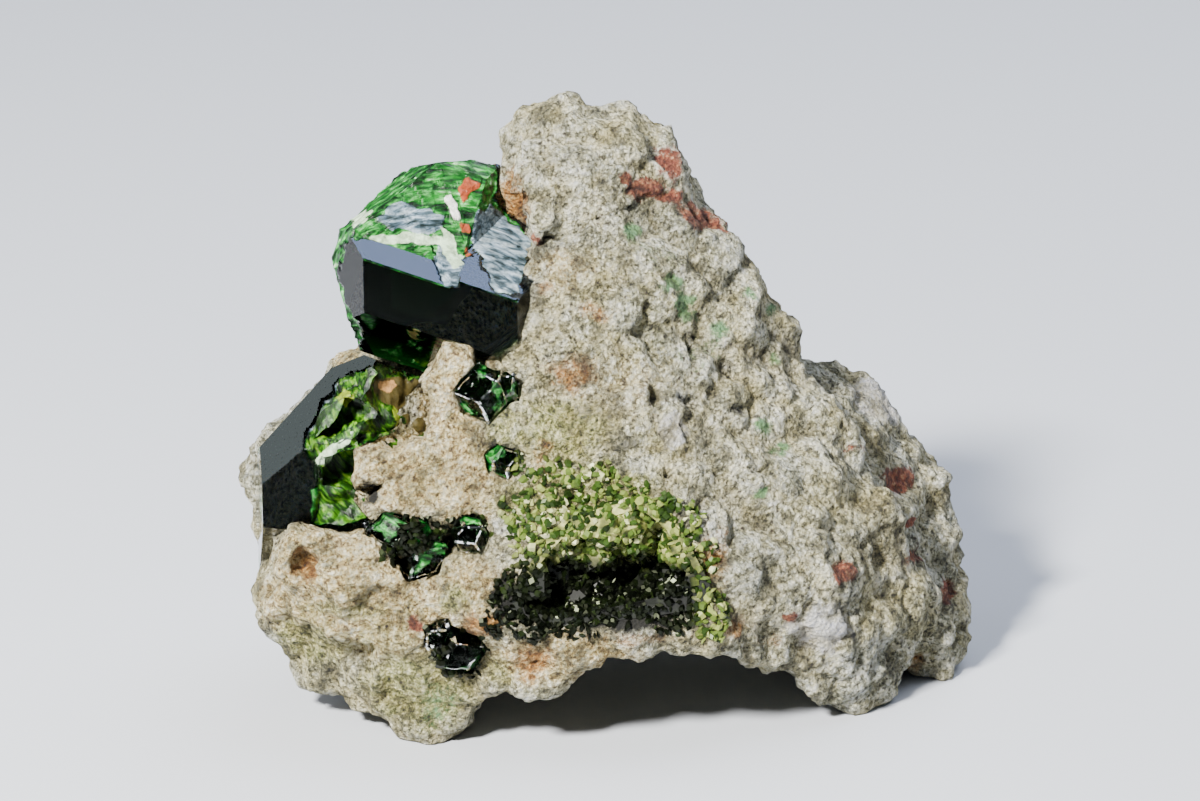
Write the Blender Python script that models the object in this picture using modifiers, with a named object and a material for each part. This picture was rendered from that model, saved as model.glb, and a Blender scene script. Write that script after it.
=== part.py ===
# Demantoid garnet crystals on their matrix rock, resting on the rock's own feet.
# +Z is up, the front of the specimen faces -Y. It is modelled in millimetres, and the
# last step brings the finished meshes to metres.

import math
import random

import bmesh
import bpy
from mathutils import Matrix, Vector

MM = 0.001
GAP = 0.3

# The rock
ROCK_VOXEL = 0.5
ROCK_TRIANGLES = 6000
ROCK_SMOOTHING = 5
LUMP_SIZE, LUMP_HEIGHT = 3.2, 1.7
CRAG_SIZE, CRAG_HEIGHT = 1.9, 0.8

# Each lobe of the rock is the hull of its corners: x, y, z.
ROCK_LOBES = {
    "peak": [
        (-5.6, 8.0, 28.1), (-5.2, 8.3, 29.5), (-4.3, 8.6, 30.5), (-2.4, 8.6, 31.1), (1.2, 8.6, 31.0),
        (3.3, 9.0, 29.6), (4.5, 8.8, 27.8), (5.2, 8.6, 26.0), (-2.9, 3.6, 25.0), (0.1, 4.6, 26.2),
        (2.2, 5.6, 27.0), (-4.4, 5.0, 27.6), (-1.5, 5.4, 29.4), (1.6, 6.2, 29.4), (-4.0, 13.4, 28.6),
        (2.4, 14.0, 28.6), (4.8, 12.5, 25.4), (-5.0, 12.0, 24.0),
    ],
    "body": [
        (-3.2, 4.0, 25.0), (0.1, 4.2, 25.8), (4.6, 8.0, 26.2), (6.1, 9.0, 24.2), (7.6, 9.2, 22.0),
        (9.4, 9.0, 19.8), (10.2, 8.4, 18.4), (-4.6, 2.8, 22.4), (-5.4, 1.7, 20.0), (-2.0, 0.6, 18.0),
        (2.6, 0.4, 17.0), (-3.6, -1.6, 11.0), (3.6, -1.8, 11.0), (8.0, 0.6, 11.0), (-5.5, 14.5, 24.0),
        (5.0, 16.0, 24.0), (-10.0, 15.0, 16.0), (9.0, 17.0, 16.0), (-9.0, 12.0, 4.0), (10.0, 15.0, 4.0),
    ],
    "right foot": [
        (10.2, 8.6, 18.2), (12.2, 7.4, 14.9), (14.6, 6.2, 11.6), (15.9, 6.0, 9.4), (16.8, 6.4, 5.2),
        (16.1, 6.2, 1.6), (14.4, 4.4, -0.8), (12.8, 2.8, -0.2), (9.2, 0.4, 3.0), (8.2, -0.6, 6.6),
        (11.2, 0.4, 9.2), (13.2, 1.8, 5.6), (5.6, -2.0, 9.4), (7.0, 1.2, 14.0), (9.0, 14.0, 3.0),
        (15.0, 13.0, 3.0),
    ],
    "back hump": [
        (11.0, 13.6, 15.7), (12.8, 15.6, 14.3), (14.5, 16.6, 13.3), (15.9, 16.4, 12.0), (17.2, 16.0, 10.7),
        (18.4, 15.0, 8.4), (19.3, 13.6, 6.6), (19.8, 12.2, 5.0), (19.4, 10.2, 2.2), (19.2, 9.4, 0.4),
        (18.4, 7.4, -0.8), (16.6, 7.6, -0.8), (15.6, 8.0, 8.0), (12.6, 10.0, 14.2), (8.0, 18.6, 14.0),
        (11.0, 20.4, 6.0), (15.0, 18.6, 5.0), (10.0, 19.0, -0.8), (16.2, 16.0, -0.8), (8.0, 12.0, 16.0),
    ],
    "left base": [
        (-17.3, 4.0, 7.8), (-17.6, 3.2, 6.2), (-17.5, 4.0, 4.4), (-16.2, 4.0, 2.4), (-14.0, 3.2, 1.3),
        (-11.2, 1.0, 0.0), (-9.6, -0.6, -0.8), (-8.2, -1.0, -0.8), (-6.6, -0.8, 0.8), (-5.0, -2.2, 3.0),
        (-15.4, -1.0, 8.2), (-9.2, -2.4, 8.4), (-5.4, -3.0, 7.0), (-16.0, 12.0, 8.0), (-14.0, 14.0, 3.0),
        (-6.0, 14.0, 3.0),
    ],
    "front lip": [
        (-5.4, -2.6, 3.2), (-2.4, -2.8, 3.0), (0.6, -3.1, 4.8), (4.2, -2.7, 5.2), (7.4, -1.6, 4.7),
        (8.9, 0.0, 3.0), (-6.0, -3.1, 8.0), (0.0, -3.6, 7.2), (6.0, -3.0, 8.0), (-5.0, -1.8, 12.0),
        (4.0, -1.6, 12.0), (-5.0, 6.0, 5.0), (8.0, 6.0, 5.0),
    ],
    "tan shoulder": [
        (-5.0, 1.8, 21.0), (-6.6, 1.4, 19.8), (-8.0, 1.0, 20.5), (-8.4, 0.6, 19.2), (-9.0, 0.6, 18.6),
        (-8.5, 0.0, 17.4), (-8.7, -0.2, 16.4), (-10.1, -0.7, 15.6), (-12.3, -1.6, 12.6), (-11.2, -2.0, 11.9),
        (-8.0, -2.2, 12.4), (-4.0, -1.6, 13.0), (-3.4, 0.4, 18.0), (-6.0, 8.0, 19.0), (-8.0, 8.0, 13.0),
    ],
    "under shoulder": [
        (-11.2, -0.6, 12.2), (-8.6, -1.4, 12.0), (-4.0, -1.8, 12.0), (-11.2, -1.2, 8.0), (-8.6, -2.0, 8.0),
        (-4.0, -2.6, 8.0), (-12.0, 6.0, 13.0), (-4.0, 6.0, 13.0), (-12.0, 6.0, 6.0), (-4.0, 6.0, 6.0),
    ],
    "left ledge": [
        (-15.7, -0.8, 11.0), (-14.8, -1.3, 11.6), (-12.2, -1.7, 11.6), (-16.0, -1.9, 10.0),
        (-16.5, -1.2, 8.4), (-14.2, -2.2, 8.6), (-9.2, -2.6, 8.8), (-11.4, -1.7, 10.6), (-16.6, 5.0, 9.4),
        (-9.0, 6.0, 10.0),
    ],
    "tan patch": [
        (-12.8, -0.2, 14.6), (-10.4, -0.5, 16.0), (-9.6, -0.4, 14.6), (-11.0, -1.0, 13.6), (-12.6, -0.8, 13.4),
        (-12.4, 0.9, 14.2), (-9.4, 1.2, 15.6), (-10.0, 0.8, 13.2),
    ],
    "behind the crystals": [
        (-19.3, 9.0, 10.4), (-18.6, 8.0, 8.9), (-17.7, 7.0, 7.8), (-17.9, 8.6, 12.3), (-16.6, 12.6, 8.0),
        (-15.6, 10.4, 15.0), (-12.6, 9.6, 18.4), (-13.4, 10.4, 17.6), (-12.0, 15.0, 10.0), (-8.0, 14.0, 19.0),
        (-6.0, 8.0, 19.0), (-6.0, 6.0, 10.0), (-16.0, 5.0, 8.0), (-15.0, 13.0, 4.0),
    ],
    "back foot": [
        (-13.0, 10.0, -0.8), (-10.5, 9.0, -0.8), (-8.0, 15.0, -0.8), (-12.0, 15.0, -0.8), (-16.0, 9.0, 8.0),
        (-4.0, 10.0, 8.0), (-5.0, 18.0, 8.0), (-14.0, 16.0, 8.0),
    ],
    "back": [
        (-5.0, 16.0, 22.0), (4.0, 17.4, 22.0), (-10.0, 17.0, 14.0), (8.0, 19.4, 13.0), (-9.0, 18.6, 7.0),
        (9.0, 20.0, 5.0), (0.0, 20.6, 9.0), (0.0, 10.0, 20.0), (-8.0, 8.0, 6.0), (8.0, 8.0, 6.0),
    ],
}

# The hollow under the rock runs from the front, between the feet, out at the back.
ARCH = [
    (-2.4, -6.0, -2.0), (-0.8, -6.0, 4.0), (1.2, -6.0, 5.6), (6.6, -6.0, 5.6), (8.2, -6.0, 3.0),
    (8.8, -6.0, -2.0), (-1.6, 9.0, -2.0), (0.4, 9.0, 5.4), (6.6, 9.0, 5.4), (8.0, 9.0, -2.0),
    (-4.6, 24.0, -2.0), (-2.0, 24.0, 5.2), (6.6, 24.0, 5.2), (7.6, 24.0, -2.0),
]

# The front hollow and the slope above it, where the crust of small crystals grows.
HOLLOW_MOUTH = -5.0
HOLLOW_FRONT = [
    (-5.2, 7.4), (-4.8, 9.4), (-3.0, 12.0), (-1.0, 13.4), (2.6, 14.2), (4.4, 12.6), (6.2, 9.2),
    (6.4, 7.8), (3.0, 7.2), (-2.6, 6.6),
]
HOLLOW_BACK = [
    (-4.2, 0.2, 8.0), (-3.4, 0.0, 10.2), (-2.0, -0.9, 12.4), (2.4, -0.6, 13.4), (3.8, 0.2, 12.0),
    (5.0, 1.2, 9.0), (2.6, 2.2, 7.8), (-2.4, 1.6, 7.2),
]

# Pits and clefts in the front: x, z, width, depth. The y comes from the rock's own surface.
PITS = {
    "brown pit": (6.4, 18.0, 1.3, 1.0),
    "black pit": (4.7, 19.4, 0.7, 0.9),
    "dark slit": (4.3, 16.9, 1.0, 0.8),
    "crease high": (7.6, 11.2, 1.4, 0.9),
    "crease middle": (9.4, 9.8, 1.4, 1.0),
    "crease low": (11.2, 8.8, 1.3, 0.8),
    "seam left": (-2.6, 24.8, 0.8, 0.5),
    "seam middle": (-0.8, 25.6, 0.8, 0.6),
    "seam right": (0.9, 26.5, 0.8, 0.6),
    "seam end": (2.2, 27.2, 0.8, 0.5),
    "ledge bowl": (-14.9, 9.9, 1.7, 1.7),
    "low pit": (12.7, 6.3, 0.9, 0.7),
    "peak recess": (-4.0, 25.8, 1.8, 1.2),
    "under bowl": (-12.6, 4.6, 2.2, 1.2),
}

# A garnet's faces in the crystal's own cubic axes, named for the way they look on the upper
# crystal. The first six and those on the far side of each are the rhombic dodecahedron.
FACE_AXES = {
    "front": (1, 1, 0),
    "top": (1, 0, 1),
    "left": (1, 0, -1),
    "right": (0, 1, 1),
    "bottom": (0, 1, -1),
    "corner": (1, -1, 0),
    "cube": (1, 0, 0),
    "slope": (2, 1, 1),
}
DODECAHEDRON = ("front", "top", "left", "right", "bottom", "corner")

# The upper crystal: the way its front face looks (turn, lift), the roll about it, and how far
# each face lies from the centre.
UPPER_CENTRE = (-8.4, 6.4, 23.0)
UPPER_FRONT = (0.0, 6.0)
UPPER_ROLL = -54.0
UPPER_SIZE = 5.0
UPPER_FACES = {"front": 4.6, "top": 4.9, "left": 5.2, "bottom": 4.5, "corner": 4.3, "cube": 5.55,
               "right": 6.0, "far bottom": 5.3, "far right": 4.4, "far left": 5.6}
# The etched side is rounder than the faces: turn, lift, distance.
UPPER_ROUNDING = [(-82.0, 22.0, 5.0), (-86.0, -16.0, 4.9), (-100.0, 45.0, 5.1), (-154.9, 73.3, 5.19)]
# Steps in the top, where the crystal is missing beyond each of these distances.
UPPER_NOTCHES = {
    "mirror step": {"top": 2.35, "slope": 3.2, "left": 1.4},
    "grey step": {"top": 2.7, "slope": 3.2},
    "right step": {"top": 2.7, "right": 2.8},
}

# The lower crystal's faces: turn, lift, distance from its centre.
LOWER_CENTRE = (-13.1, 4.7, 13.1)
LOWER_FACES = {
    "front": (-9.0, 6.0, 4.4),
    "left": (-84.0, 0.0, 4.22),
    "upper left": (-52.0, 40.0, 4.2),
    "rim left": (-102.7, 40.7, 3.61),
    "crown left": (-125.8, 63.2, 4.65),
    "crown right": (127.6, 61.2, 5.45),
    "right": (38.0, 10.0, 4.4),
    "bottom": (-12.0, -52.0, 4.6),
    "far bottom": (160.0, -40.0, 5.0),
    "back": (172.0, 10.0, 4.8),
    "back left": (-130.0, 8.0, 4.6),
    "far right": (100.0, 0.0, 4.8),
}
# Pieces broken out of its front, as hulls.
LOWER_BREAKS = {
    "upper break": [
        (-14.9, -3.0, 15.6), (-13.4, -3.0, 18.2), (-12.0, -3.0, 18.4), (-11.4, -3.0, 17.2),
        (-12.6, -3.0, 15.9), (-14.0, 2.4, 15.6), (-12.6, 2.6, 17.4), (-11.6, 2.4, 16.8),
    ],
    "lower break": [
        (-14.3, -3.0, 15.0), (-12.0, -3.0, 15.8), (-8.0, -3.0, 16.2), (-8.0, -3.0, 12.6),
        (-14.4, -3.0, 13.2), (-13.6, 1.8, 14.6), (-9.0, 2.0, 15.8), (-9.0, 2.0, 12.8), (-13.6, 1.8, 13.4),
    ],
}

# The small garnets set in the front of the rock: x, z, radius, turn, lift, roll.
# Those of one name have grown into each other.
SMALL_GARNETS = {
    "side_garnet": [(-5.8, 18.1, 1.35, -20.0, 30.0, 20.0), (-4.9, 18.2, 1.0, 10.0, 20.0, 50.0)],
    "glint_garnet": [(-4.9, 14.9, 0.85, 20.0, 30.0, 10.0)],
    "ledge_garnets": [(-10.2, 11.2, 1.5, -10.0, 20.0, 15.0), (-9.0, 10.2, 1.4, 20.0, -10.0, 40.0),
                      (-9.2, 11.5, 0.8, 0.0, 5.0, 70.0)],
    "rim_garnet": [(-6.5, 11.4, 0.95, 0.0, 15.0, 30.0)],
    "foot_garnet": [(-7.1, 5.6, 1.35, 10.0, -5.0, 25.0), (-8.1, 6.2, 0.8, -20.0, 10.0, 60.0)],
}
SMALL_SINK = 0.45

# The crust in the hollow
CRUST_WALL = 0.7
CRUST_CRYSTALS = 46
CRUST_RADIUS = (0.45, 0.95)
CRUST_SEED = 7
CRUST_MIDDLE = (0.6, -2.0, 10.2)
# Where its front edge ends: a point of that plane, and the way the plane looks (turn, lift).
CRUST_FRONT = (0.0, -2.7, 8.0)
CRUST_FRONT_LOOKS = (0.0, 14.0)


def direction(turn, lift):
    """The unit vector that looks turn degrees from the front towards +X, and lift degrees up."""
    turn, lift = math.radians(turn), math.radians(lift)
    return Vector((math.sin(turn) * math.cos(lift), -math.cos(turn) * math.cos(lift), math.sin(lift)))


def material(name, colour, roughness):
    made = bpy.data.materials.new(name)
    made.use_nodes = True
    shader = made.node_tree.nodes["Principled BSDF"]
    shader.inputs["Base Color"].default_value = (*colour, 1.0)
    shader.inputs["Roughness"].default_value = roughness
    made.diffuse_color = (*colour, 1.0)
    return made


def add_object(name, bm, collection, finish=None):
    bmesh.ops.recalc_face_normals(bm, faces=bm.faces)
    mesh = bpy.data.meshes.new(name)
    bm.to_mesh(mesh)
    bm.free()
    obj = bpy.data.objects.new(name, mesh)
    collection.objects.link(obj)
    if finish:
        mesh.materials.append(finish)
    return obj


def add_cutter(name, bm, collection):
    cutter = add_object(name, bm, collection)
    cutter.hide_render = True
    cutter.display_type = "WIRE"
    return cutter


def add_hull(bm, corners):
    """Adds the convex hull of the corners to the mesh."""
    verts = [bm.verts.new(corner) for corner in corners]
    made = bmesh.ops.convex_hull(bm, input=verts)
    inside = [item for item in made["geom_interior"] if isinstance(item, bmesh.types.BMVert)]
    bmesh.ops.delete(bm, geom=inside, context="VERTS")


def hull_mesh(corners):
    bm = bmesh.new()
    add_hull(bm, corners)
    return bm


def mesh_of(obj):
    bm = bmesh.new()
    bm.from_mesh(obj.data)
    return bm


def grown(corners, amount):
    """The corners moved out from their middle by the amount."""
    middle = sum((Vector(corner) for corner in corners), Vector()) / len(corners)
    return [Vector(corner) + (Vector(corner) - middle).normalized() * amount for corner in corners]


def cut_by_planes(centre, planes, grow=0.0):
    """A block cut down to the solid that lies inside every plane: planes holds direction, distance."""
    bm = bmesh.new()
    bmesh.ops.create_cube(bm, size=60.0)
    bmesh.ops.translate(bm, verts=bm.verts, vec=centre)
    for normal, distance in planes:
        cut = bmesh.ops.bisect_plane(
            bm,
            geom=bm.verts[:] + bm.edges[:] + bm.faces[:],
            plane_co=Vector(centre) + normal * (distance + grow),
            plane_no=normal,
            clear_outer=True,
        )
        rim = [item for item in cut["geom_cut"] if isinstance(item, bmesh.types.BMEdge)]
        if rim:
            bmesh.ops.edgeloop_fill(bm, edges=rim)
    bmesh.ops.remove_doubles(bm, verts=bm.verts, dist=0.001)
    return bm


def garnet_axes(front, roll):
    """The matrix that turns the cubic axes so that the front face looks along front."""
    out = direction(*front)
    across = Vector((0, 0, 1)).cross(out).normalized()
    upward = out.cross(across)
    long_way = across * math.cos(math.radians(roll)) + upward * math.sin(math.radians(roll))
    short_way = out.cross(long_way)
    return Matrix(((out - long_way).normalized(), (out + long_way).normalized(), short_way)).transposed()


def face_normal(axes, name):
    sign = -1.0 if name.startswith("far ") else 1.0
    return (axes @ Vector(FACE_AXES[name.removeprefix("far ")])).normalized() * sign


def garnet_planes(axes, size, faces):
    """The twelve dodecahedral planes, and any other that faces gives a distance."""
    names = [side + name for name in DODECAHEDRON for side in ("", "far ")]
    names += [name for name in faces if name not in names]
    return [(face_normal(axes, name), faces.get(name, size)) for name in names]


def add_modifier(obj, kind, name, **settings):
    modifier = obj.modifiers.new(name, kind)
    for key, value in settings.items():
        setattr(modifier, key, value)
    return modifier


def apply_modifiers(obj):
    """Turns the object as its modifiers show it into its own mesh."""
    graph = bpy.context.evaluated_depsgraph_get()
    mesh = bpy.data.meshes.new_from_object(obj.evaluated_get(graph))
    obj.modifiers.clear()
    obj.data = mesh


def noise_texture(name, kind, size, **settings):
    made = bpy.data.textures.new(name, kind)
    made.noise_scale = size
    for key, value in settings.items():
        setattr(made, key, value)
    return made


def surface_point(rock, x, z):
    """The point of the rock met from the front at x, z."""
    hit, place, _, _ = rock.ray_cast(Vector((x, -30.0, z)), Vector((0, 1, 0)))
    if not hit:
        raise ValueError(f"nothing of the rock lies at {x}, {z}")
    return place


def carve(obj, meshes, operation="DIFFERENCE"):
    """Cuts each of the meshes out of the object, or joins it on, and frees them."""
    helpers = bpy.data.collections.new("carving")
    for number, bm in enumerate(meshes):
        other = add_object(f"{obj.name} carving {number}", bm, helpers)
        add_modifier(obj, "BOOLEAN", "carving", operation=operation, object=other, solver="EXACT")
        apply_modifiers(obj)
        bpy.data.objects.remove(other, do_unlink=True)
    bpy.data.collections.remove(helpers)


def clean_facets(obj):
    """Joins the faces that lie in one plane, and the points that a union left close together."""
    bm = mesh_of(obj)
    bmesh.ops.remove_doubles(bm, verts=bm.verts, dist=0.02)
    bmesh.ops.dissolve_limit(bm, angle_limit=math.radians(0.5), verts=bm.verts, edges=bm.edges)
    bmesh.ops.triangulate(bm, faces=bm.faces)
    bm.to_mesh(obj.data)
    bm.free()


def keep_outer_skin(obj):
    """Removes every closed skin but the one with the most points, such as pockets shut in between crystals."""
    bm = mesh_of(obj)
    left = set(bm.verts)
    skins = []
    while left:
        skin = {left.pop()}
        edge = set(skin)
        while edge:
            edge = {side.other_vert(vert) for vert in edge for side in vert.link_edges} - skin
            skin |= edge
        left -= skin
        skins.append(skin)
    skins.sort(key=len)
    bmesh.ops.delete(bm, geom=[vert for skin in skins[:-1] for vert in skin], context="VERTS")
    bm.to_mesh(obj.data)
    bm.free()


def rough_rock(parts, cutters, finish):
    """The rock's lobes as one skin, with the arch taken out of it."""
    bm = bmesh.new()
    for corners in ROCK_LOBES.values():
        add_hull(bm, corners)
    rock = add_object("matrix", bm, parts, finish)
    add_modifier(rock, "REMESH", "one skin", mode="VOXEL", voxel_size=ROCK_VOXEL)
    arch = add_cutter("arch", hull_mesh(ARCH), cutters)
    add_modifier(rock, "BOOLEAN", "arch", operation="DIFFERENCE", object=arch, solver="EXACT")
    apply_modifiers(rock)
    return rock


def hollow_corners(shrink):
    """The corners of the hollow, drawn in from its walls by shrink."""
    corners = [(x, HOLLOW_MOUTH, z) for x, z in HOLLOW_FRONT] + HOLLOW_BACK
    return grown(corners, -shrink)


def pit_mesh(rock):
    """Balls that cut the pits and clefts where they lie on the rock's surface."""
    bm = bmesh.new()
    for x, z, width, depth in PITS.values():
        place = surface_point(rock, x, z)
        size = Matrix.Diagonal((width / 2, depth, width / 2, 1.0))
        bmesh.ops.create_icosphere(bm, subdivisions=2, radius=1.0, matrix=Matrix.Translation(place) @ size)
    return bm


def weather(rock, cutters):
    """Cuts the pits, roughens the skin and brings it down to flat facets."""
    pits = add_cutter("pits", pit_mesh(rock), cutters)
    add_modifier(rock, "BOOLEAN", "pits", operation="DIFFERENCE", object=pits, solver="EXACT", use_self=True)
    add_modifier(rock, "REMESH", "even skin", mode="VOXEL", voxel_size=ROCK_VOXEL)
    add_modifier(rock, "SMOOTH", "weathered", factor=0.5, iterations=ROCK_SMOOTHING)
    lumps = noise_texture("rock lumps", "CLOUDS", LUMP_SIZE, noise_depth=1)
    crags = noise_texture("rock crags", "VORONOI", CRAG_SIZE)
    add_modifier(rock, "DISPLACE", "lumps", texture=lumps, strength=LUMP_HEIGHT, mid_level=0.5)
    add_modifier(rock, "DISPLACE", "crags", texture=crags, strength=CRAG_HEIGHT, mid_level=0.5)
    apply_modifiers(rock)
    triangles = 2 * len(rock.data.polygons)
    add_modifier(rock, "DECIMATE", "facets", ratio=ROCK_TRIANGLES / triangles)
    apply_modifiers(rock)


def notched_garnet(name, collection, grow=0.0):
    """The upper crystal, its faces moved out by grow, with the steps taken out of its top."""
    axes = garnet_axes(UPPER_FRONT, UPPER_ROLL)
    planes = garnet_planes(axes, UPPER_SIZE, UPPER_FACES)
    planes += [(direction(turn, lift), distance) for turn, lift, distance in UPPER_ROUNDING]
    crystal = add_object(name, cut_by_planes(UPPER_CENTRE, planes, grow), collection)
    notches = []
    for limits in UPPER_NOTCHES.values():
        sides = [(-face_normal(axes, face), -distance) for face, distance in limits.items()]
        notches.append(cut_by_planes(UPPER_CENTRE, sides, -grow))
    carve(crystal, notches)
    clean_facets(crystal)
    return crystal


def broken_garnet(name, collection, grow=0.0):
    """The lower crystal, its faces moved out by grow, and what is left open in its front."""
    planes = [(direction(turn, lift), distance) for turn, lift, distance in LOWER_FACES.values()]
    crystal = add_object(name, cut_by_planes(LOWER_CENTRE, planes, grow), collection)
    patch = ROCK_LOBES["tan patch"]
    if grow:
        carve(crystal, [hull_mesh(grown(patch, grow))])
    else:
        carve(crystal, [hull_mesh(corners) for corners in LOWER_BREAKS.values()])
        carve(crystal, [hull_mesh(grown(patch, 3.0 * GAP))])
    clean_facets(crystal)
    return crystal


def make_large_garnets(parts, sockets, finish):
    upper = notched_garnet("upper_garnet", parts)
    lower = broken_garnet("lower_garnet", parts)
    for crystal in (upper, lower):
        crystal.data.materials.append(finish)
    above = notched_garnet("upper socket", sockets, GAP)
    below = broken_garnet("lower socket", sockets, GAP)
    for socket in (above, below):
        socket.hide_render = True
        socket.display_type = "WIRE"
    add_modifier(lower, "BOOLEAN", "upper crystal", operation="DIFFERENCE", object=above, solver="EXACT")
    apply_modifiers(lower)


def make_small_garnets(rock, parts, sockets, finish):
    for name, crystals in SMALL_GARNETS.items():
        solids = []
        for number, (x, z, radius, turn, lift, roll) in enumerate(crystals):
            place = surface_point(rock, x, z)
            centre = place + Vector((0, SMALL_SINK * radius, 0))
            planes = garnet_planes(garnet_axes((turn, lift), roll), radius, {})
            solids.append(cut_by_planes(centre, planes))
            add_cutter(f"{name} socket {number}", cut_by_planes(centre, planes, GAP), sockets)
        crystal = add_object(name, solids[0], parts, finish)
        carve(crystal, solids[1:], "UNION")
        carve(crystal, [mesh_of(sockets.objects["lower socket"])])
        clean_facets(crystal)


def hollow_room(shrink):
    """The room of the hollow that lies behind the rock's front, drawn in from the walls by shrink."""
    bm = hull_mesh(hollow_corners(shrink))
    cut = bmesh.ops.bisect_plane(
        bm,
        geom=bm.verts[:] + bm.edges[:] + bm.faces[:],
        plane_co=Vector(CRUST_FRONT),
        plane_no=direction(*CRUST_FRONT_LOOKS),
        clear_outer=True,
    )
    bmesh.ops.edgeloop_fill(bm, edges=[item for item in cut["geom_cut"] if isinstance(item, bmesh.types.BMEdge)])
    return bm


def make_crust(parts, sockets, finish):
    """The hollow's crystals as one crust: a wall that follows the hollow, with crystals grown on it."""
    add_cutter("hollow", hull_mesh(hollow_corners(0.0)), sockets)
    crust = add_object("hollow_crystals", hollow_room(GAP), parts, finish)
    carve(crust, [hull_mesh(hollow_corners(GAP + CRUST_WALL))])
    space = add_object("space", hull_mesh(hollow_corners(GAP + CRUST_WALL)), parts)
    middle = Vector(CRUST_MIDDLE)
    dice = random.Random(CRUST_SEED)
    crystals = []
    for _ in range(CRUST_CRYSTALS):
        outward = direction(dice.uniform(60.0, 300.0), dice.uniform(-50.0, 60.0))
        _, place, _, _ = space.ray_cast(middle, outward)
        radius = dice.uniform(*CRUST_RADIUS)
        axes = garnet_axes((dice.uniform(-60.0, 60.0), dice.uniform(-20.0, 70.0)), dice.uniform(0.0, 90.0))
        crystals.append(cut_by_planes(place, garnet_planes(axes, radius, {})))
    bpy.data.objects.remove(space, do_unlink=True)
    carve(crust, crystals, "UNION")
    carve(crust, [hollow_room(GAP)], "INTERSECT")
    clean_facets(crust)
    keep_outer_skin(crust)


def cut_sockets(rock, sockets, cutters):
    """Cuts the rock's sockets and, last, the plane that its feet stand on."""
    for socket in sockets.objects:
        add_modifier(rock, "BOOLEAN", socket.name, operation="DIFFERENCE", object=socket, solver="EXACT")
    bm = bmesh.new()
    bmesh.ops.create_cube(bm, size=60.0, matrix=Matrix.Translation((0.0, 8.0, -30.0)))
    floor = add_cutter("standing plane", bm, cutters)
    add_modifier(rock, "BOOLEAN", "feet", operation="DIFFERENCE", object=floor, solver="EXACT")
    apply_modifiers(rock)


def to_metres_on_origin(parts, collections):
    """Moves all of it so that the middle of its base is the origin, and brings it to metres."""
    corners = [vertex.co for obj in parts.objects for vertex in obj.data.vertices]
    low, high = ([pick(corner[axis] for corner in corners) for axis in range(3)] for pick in (min, max))
    base = Vector(((low[0] + high[0]) / 2, (low[1] + high[1]) / 2, low[2]))
    place = Matrix.Scale(MM, 4) @ Matrix.Translation(-base)
    for collection in collections:
        for obj in collection.objects:
            obj.data.transform(place)


def clear_scene():
    for obj in list(bpy.data.objects):
        bpy.data.objects.remove(obj, do_unlink=True)


def main():
    clear_scene()
    parts = bpy.data.collections.new("demantoid_garnet")
    cutters = bpy.data.collections.new("cutters")
    sockets = bpy.data.collections.new("sockets")
    for collection in (parts, cutters, sockets):
        bpy.context.scene.collection.children.link(collection)

    stone = material("matrix stone", (0.55, 0.53, 0.46), 0.9)
    green = material("demantoid", (0.02, 0.12, 0.03), 0.1)
    druse = material("green druse", (0.12, 0.18, 0.05), 0.3)

    rock = rough_rock(parts, cutters, stone)
    weather(rock, cutters)
    make_large_garnets(parts, sockets, green)
    make_small_garnets(rock, parts, sockets, green)
    make_crust(parts, sockets, druse)
    cut_sockets(rock, sockets, cutters)
    to_metres_on_origin(parts, (parts, cutters, sockets))


if __name__ == "__main__":
    main()
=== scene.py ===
import math

import bmesh
import bpy
import numpy as np
from mathutils import Matrix, Vector
from mathutils.bvhtree import BVHTree


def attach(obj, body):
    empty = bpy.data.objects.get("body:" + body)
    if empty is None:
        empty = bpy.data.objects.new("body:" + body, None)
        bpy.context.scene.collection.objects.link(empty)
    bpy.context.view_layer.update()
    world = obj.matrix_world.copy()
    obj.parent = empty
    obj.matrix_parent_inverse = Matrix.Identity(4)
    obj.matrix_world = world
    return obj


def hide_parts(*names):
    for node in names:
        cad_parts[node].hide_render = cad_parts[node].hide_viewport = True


mm = 0.001
farAway = 9.0                    # further than any gap that is looked for

# The camera as it stood for the photograph: 20 pixels to the millimetre at the middle of the rock.
view = {
    "target": (-0.35, -6.69, 17.37),
    "distance": 260.0,
    "lift": 18.0,                # degrees that it looks down
    "lens": 156.0,
    "sensor": 36.0,
    "width": 1200,               # pixels
    "height": 801,
    "nearest": 10.0,             # where its view begins and ends
    "furthest": 10000.0,
}


def linear(hexColour):
    parts = [int(hexColour[i:i + 2], 16) / 255 for i in (1, 3, 5)]
    return tuple(c / 12.92 if c <= 0.04045 else ((c + 0.055) / 1.055) ** 2.4 for c in parts)


def rgba(hexColour):
    return (*linear(hexColour), 1.0)


def facing(turn, lift):
    # the way that looks turn degrees from the front towards +X, and lift degrees up
    t, u = math.radians(turn), math.radians(lift)
    return Vector((math.sin(t) * math.cos(u), -math.cos(t) * math.cos(u), math.sin(u)))


lineOfSight = -facing(0.0, view["lift"])
eyePlace = Vector(view["target"]) - lineOfSight * view["distance"]
rightWay = Vector((1, 0, 0))
upWay = rightWay.cross(lineOfSight)
pixelReach = view["lens"] / view["sensor"] * view["width"]     # pixels from the middle to 45 degrees off it


def sightRay(px, py):
    # the way from the camera through a pixel of the photograph
    return (lineOfSight + rightWay * ((px - view["width"] / 2) / pixelReach)
            + upWay * ((view["height"] / 2 - py) / pixelReach)).normalized()


def picturePlace(points):
    # where points, in mm, fall in the photograph
    away = points - np.array(eyePlace)
    depth = away @ np.array(lineOfSight)
    return np.stack([view["width"] / 2 + pixelReach * (away @ np.array(rightWay)) / depth,
                     view["height"] / 2 - pixelReach * (away @ np.array(upWay)) / depth], 1)


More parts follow.
